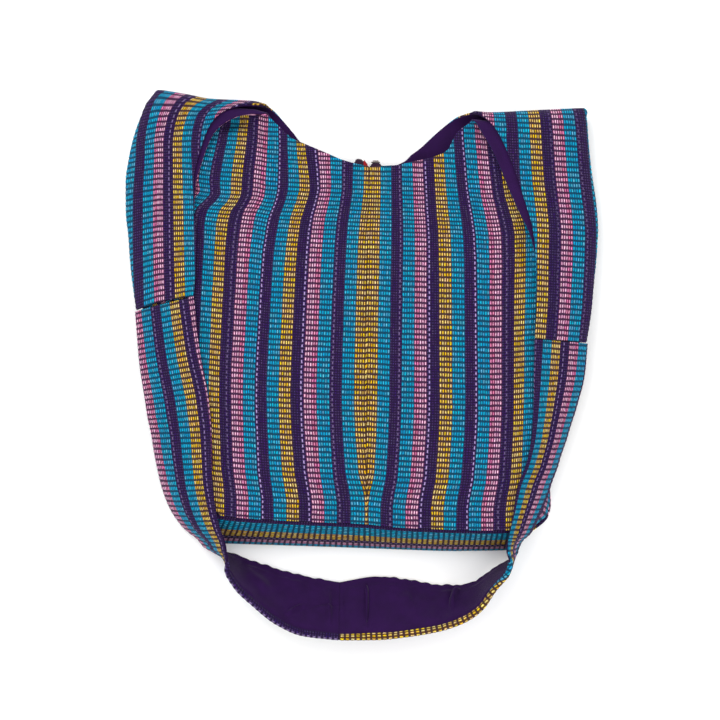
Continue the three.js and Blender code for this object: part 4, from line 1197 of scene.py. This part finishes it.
# %% [markdown]
# ## The zip
#
# The zip is closed across the middle of the mouth and bulges out of it in two small humps.

# %% Zip
def mouth_up(rows, side, x):
    return curve(rows, SIDE_NAME[side], "up")(side * x / HALF)


def zip_line(count):
    share = np.linspace(0, 1, count)
    x = SEAM_X + (share - 0.5) * ZIP_LENGTH
    front_up = np.where(x < SEAM_X, mouth_up(FRONT_MOUTH, LEFT, x), mouth_up(FRONT_MOUTH, RIGHT, x))
    mouth_y = lerp(lower_seam_y(x), front_fold_y(x), front_up)
    hump = sum(high * np.exp(-(((share - 0.5 - at) / width) ** 4)) for at, width, high in ZIP_HUMPS)
    front = front_z(x, mouth_y) - CLOTH / 2 - 2 * GAP - LINING - TAPE / 2
    back = np.full_like(x, CLOTH + 2 * GAP + LINING + TAPE / 2)
    out = mouth_y - ZIP_RECESS + ZIP_HUMP * np.minimum(1, hump)
    return x, mouth_y, out, front, back


def zip_tape(is_front):
    x, mouth_y, out, front, back = zip_line(140)
    middle = (front + back) / 2
    reach = ZIP_CHAIN / 2 + 2 * GAP
    edge = front if is_front else back
    end = middle + reach if is_front else middle - reach
    sewn = mouth_y - TAPE_SEWN
    columns = [
        np.stack([x, sewn, edge], -1),
        np.stack([x, lerp(sewn, out, 0.6), lerp(edge, end, 0.12)], -1),
        np.stack([x, out, end], -1),
    ]
    steps = np.linspace(0, 2, 9)
    grid = np.stack([lerp(columns[min(int(s), 1)], columns[min(int(s), 1) + 1], s - min(int(s), 1)) for s in steps], 1)
    if not is_front:
        grid = grid[:, ::-1]
    u = np.repeat(steps[None, :] * 0.006, len(x), axis=0)
    v = np.repeat(x[:, None], len(steps), axis=1)
    name = "zip_tape_front" if is_front else "zip_tape_back"
    piece = cloth(f"{name}_cloth", TAPE_CLOTH, cloth_wall(grid, (u, v), -TAPE / 2, TAPE / 2))
    keep(piece, "zip_tape", name)
    return piece


zip_tape(True)
zip_tape(False)


def zip_teeth():
    """Small interlocking teeth along the zip, alternately from the front and from the back tape."""
    count = int(ZIP_LENGTH / TOOTH_PITCH)
    x, _, out, front, back = zip_line(count)
    middle = (front + back) / 2
    around = np.linspace(0, 2 * np.pi, 9)[:-1]
    vertices, faces = [], []
    for i in range(count):
        turn = 1 if i % 2 else -1
        for end, size in ((-1, 0.55), (-0.5, 1.0), (0.5, 1.0), (1, 0.55)):
            ring = np.stack([
                x[i] + TOOTH_HALF[0] * size * np.cos(around),
                out[i] + TOOTH_HALF[1] * size * np.sin(around),
                np.full(8, middle[i] + turn * TOOTH_SIDE + TOOTH_HALF[2] * end),
            ], -1)
            vertices.append(ring)
        base = i * 32
        faces += [(base + 7 - k) for k in range(8)],
        for ring in range(3):
            for k in range(8):
                a, b = base + ring * 8 + k, base + ring * 8 + (k + 1) % 8
                faces.append((a, b, b + 8, a + 8))
        faces += [(base + 24 + k) for k in range(8)],
    return mesh_object("zip_teeth", np.concatenate(vertices) + ORIGIN, faces, METAL)


def rounded_block(centre, half, power, taper=0.0):
    """A soft-edged block; the taper makes it narrower towards +X."""
    level = np.linspace(-np.pi / 2, np.pi / 2, 15)[:, None]
    round_it = np.linspace(-np.pi, np.pi, 29)[None, :-1]

    def soft(value):
        return np.sign(value) * np.abs(value) ** power

    x = soft(np.cos(level)) * soft(np.cos(round_it))
    z = soft(np.cos(level)) * soft(np.sin(round_it)) * (1 - taper * x)
    y = soft(np.sin(level)) * np.ones_like(round_it)
    points = np.stack([x * half[0], y * half[1], z * half[2]], -1).reshape(-1, 3) + np.array(centre)
    rows, columns = level.shape[0], round_it.shape[1]
    grid = np.arange(rows * columns).reshape(rows, columns)
    following = np.roll(grid, -1, axis=1)
    faces = np.stack([grid[:-1], grid[1:], following[1:], following[:-1]], -1).reshape(-1, 4)
    return points, faces


TOOTH_PITCH = 0.0011
TOOTH_HALF = (0.0005, 0.0008, 0.0011)
TOOTH_SIDE = 0.0006
SLIDER_HALF = (0.0045, 0.0013, 0.00325)

keep(zip_teeth(), "zip_metal", "zip_chain")

slider_at = int(round((0.5 + ZIP_HUMPS[-1][0]) * 200))
x, _, out, front, back = (a[slider_at] for a in zip_line(201))
centre = np.array([x, out + TOOTH_HALF[1] + SLIDER_HALF[1] / 2, (front + back) / 2])
parts = [
    rounded_block(centre - (0, 0.0007, 0), (SLIDER_HALF[0], 0.0006, SLIDER_HALF[2]), 0.45, 0.18),
    rounded_block(centre + (0, 0.0001, 0), (0.0030, 0.0004, 0.0011), 0.5),
    rounded_block(centre + (-0.0024, 0.0005, 0), (0.0006, 0.0008, 0.0009), 0.5),
    rounded_block(centre + (0.0024, 0.0005, 0), (0.0006, 0.0008, 0.0009), 0.5),
    rounded_block(centre + (0, 0.0009, 0), (0.0029, 0.0004, 0.0009), 0.5),
]
sizes = np.cumsum([0] + [len(points) for points, _ in parts[:-1]])
slider = mesh_object(
    "zip_slider_body",
    np.concatenate([points for points, _ in parts]) + ORIGIN,
    np.concatenate([faces + start for (_, faces), start in zip(parts, sizes)]),
    METAL,
)
keep(slider, "zip_metal", "zip_slider")

# %% [markdown]
# ## Floor, light and camera

# %% Floor
bpy.ops.mesh.primitive_plane_add(size=6, location=(0, 0, 0))
floor = bpy.context.object
floor.name = "floor"
paper, paper_tree, paper_shader = new_material("white_paper")
paper_grain = add_node(paper_tree, "ShaderNodeTexNoise", {}, {"Scale": 8.0})
paper_colour = add_node(paper_tree, "ShaderNodeMix", {"data_type": "RGBA"}, {0: paper_grain.outputs[0], 6: linear("#fbfbfb"), 7: linear("#ffffff")})
paper_tree.links.new(paper_colour.outputs[2], paper_shader.inputs["Base Color"])
paper_shader.inputs["Roughness"].default_value = 0.9
floor.data.materials.append(paper)

# %% Light
world = bpy.data.worlds.new("studio")
world.use_nodes = True
world.node_tree.nodes["Background"].inputs[0].default_value = (1, 1, 1, 1)
world.node_tree.nodes["Background"].inputs[1].default_value = 1.24
bpy.context.scene.world = world


def soft_light(name, place, size, power):
    light = bpy.data.lights.new(name, "AREA")
    light.shape = "SQUARE"
    light.size = size
    light.energy = power
    lamp = bpy.data.objects.new(name, light)
    lamp.location = place
    direction = -np.array(place)
    pitch = math.atan2(math.hypot(direction[0], direction[1]), -direction[2])
    lamp.rotation_euler = (pitch, 0, math.atan2(direction[1], direction[0]) - math.pi / 2)
    bpy.context.scene.collection.objects.link(lamp)
    return lamp


soft_light("key_softbox", (-0.7, 1.1, 1.5), 0.9, 13)
soft_light("fill_softbox", (0.9, -0.6, 1.6), 1.2, 4)

# %% Camera
PICTURE = 0.72
CAMERA_HEIGHT = 2.03
PICTURE_PLANE = 0.03
camera_data = bpy.data.cameras.new("camera")
camera_data.sensor_width = 36
camera_data.lens = 36 * (CAMERA_HEIGHT - PICTURE_PLANE) / PICTURE
camera = bpy.data.objects.new("camera", camera_data)
camera.location = (-0.0025, 0.003, CAMERA_HEIGHT)
bpy.context.scene.collection.objects.link(camera)
bpy.context.scene.camera = camera
bpy.context.scene.view_settings.view_transform = "Standard"
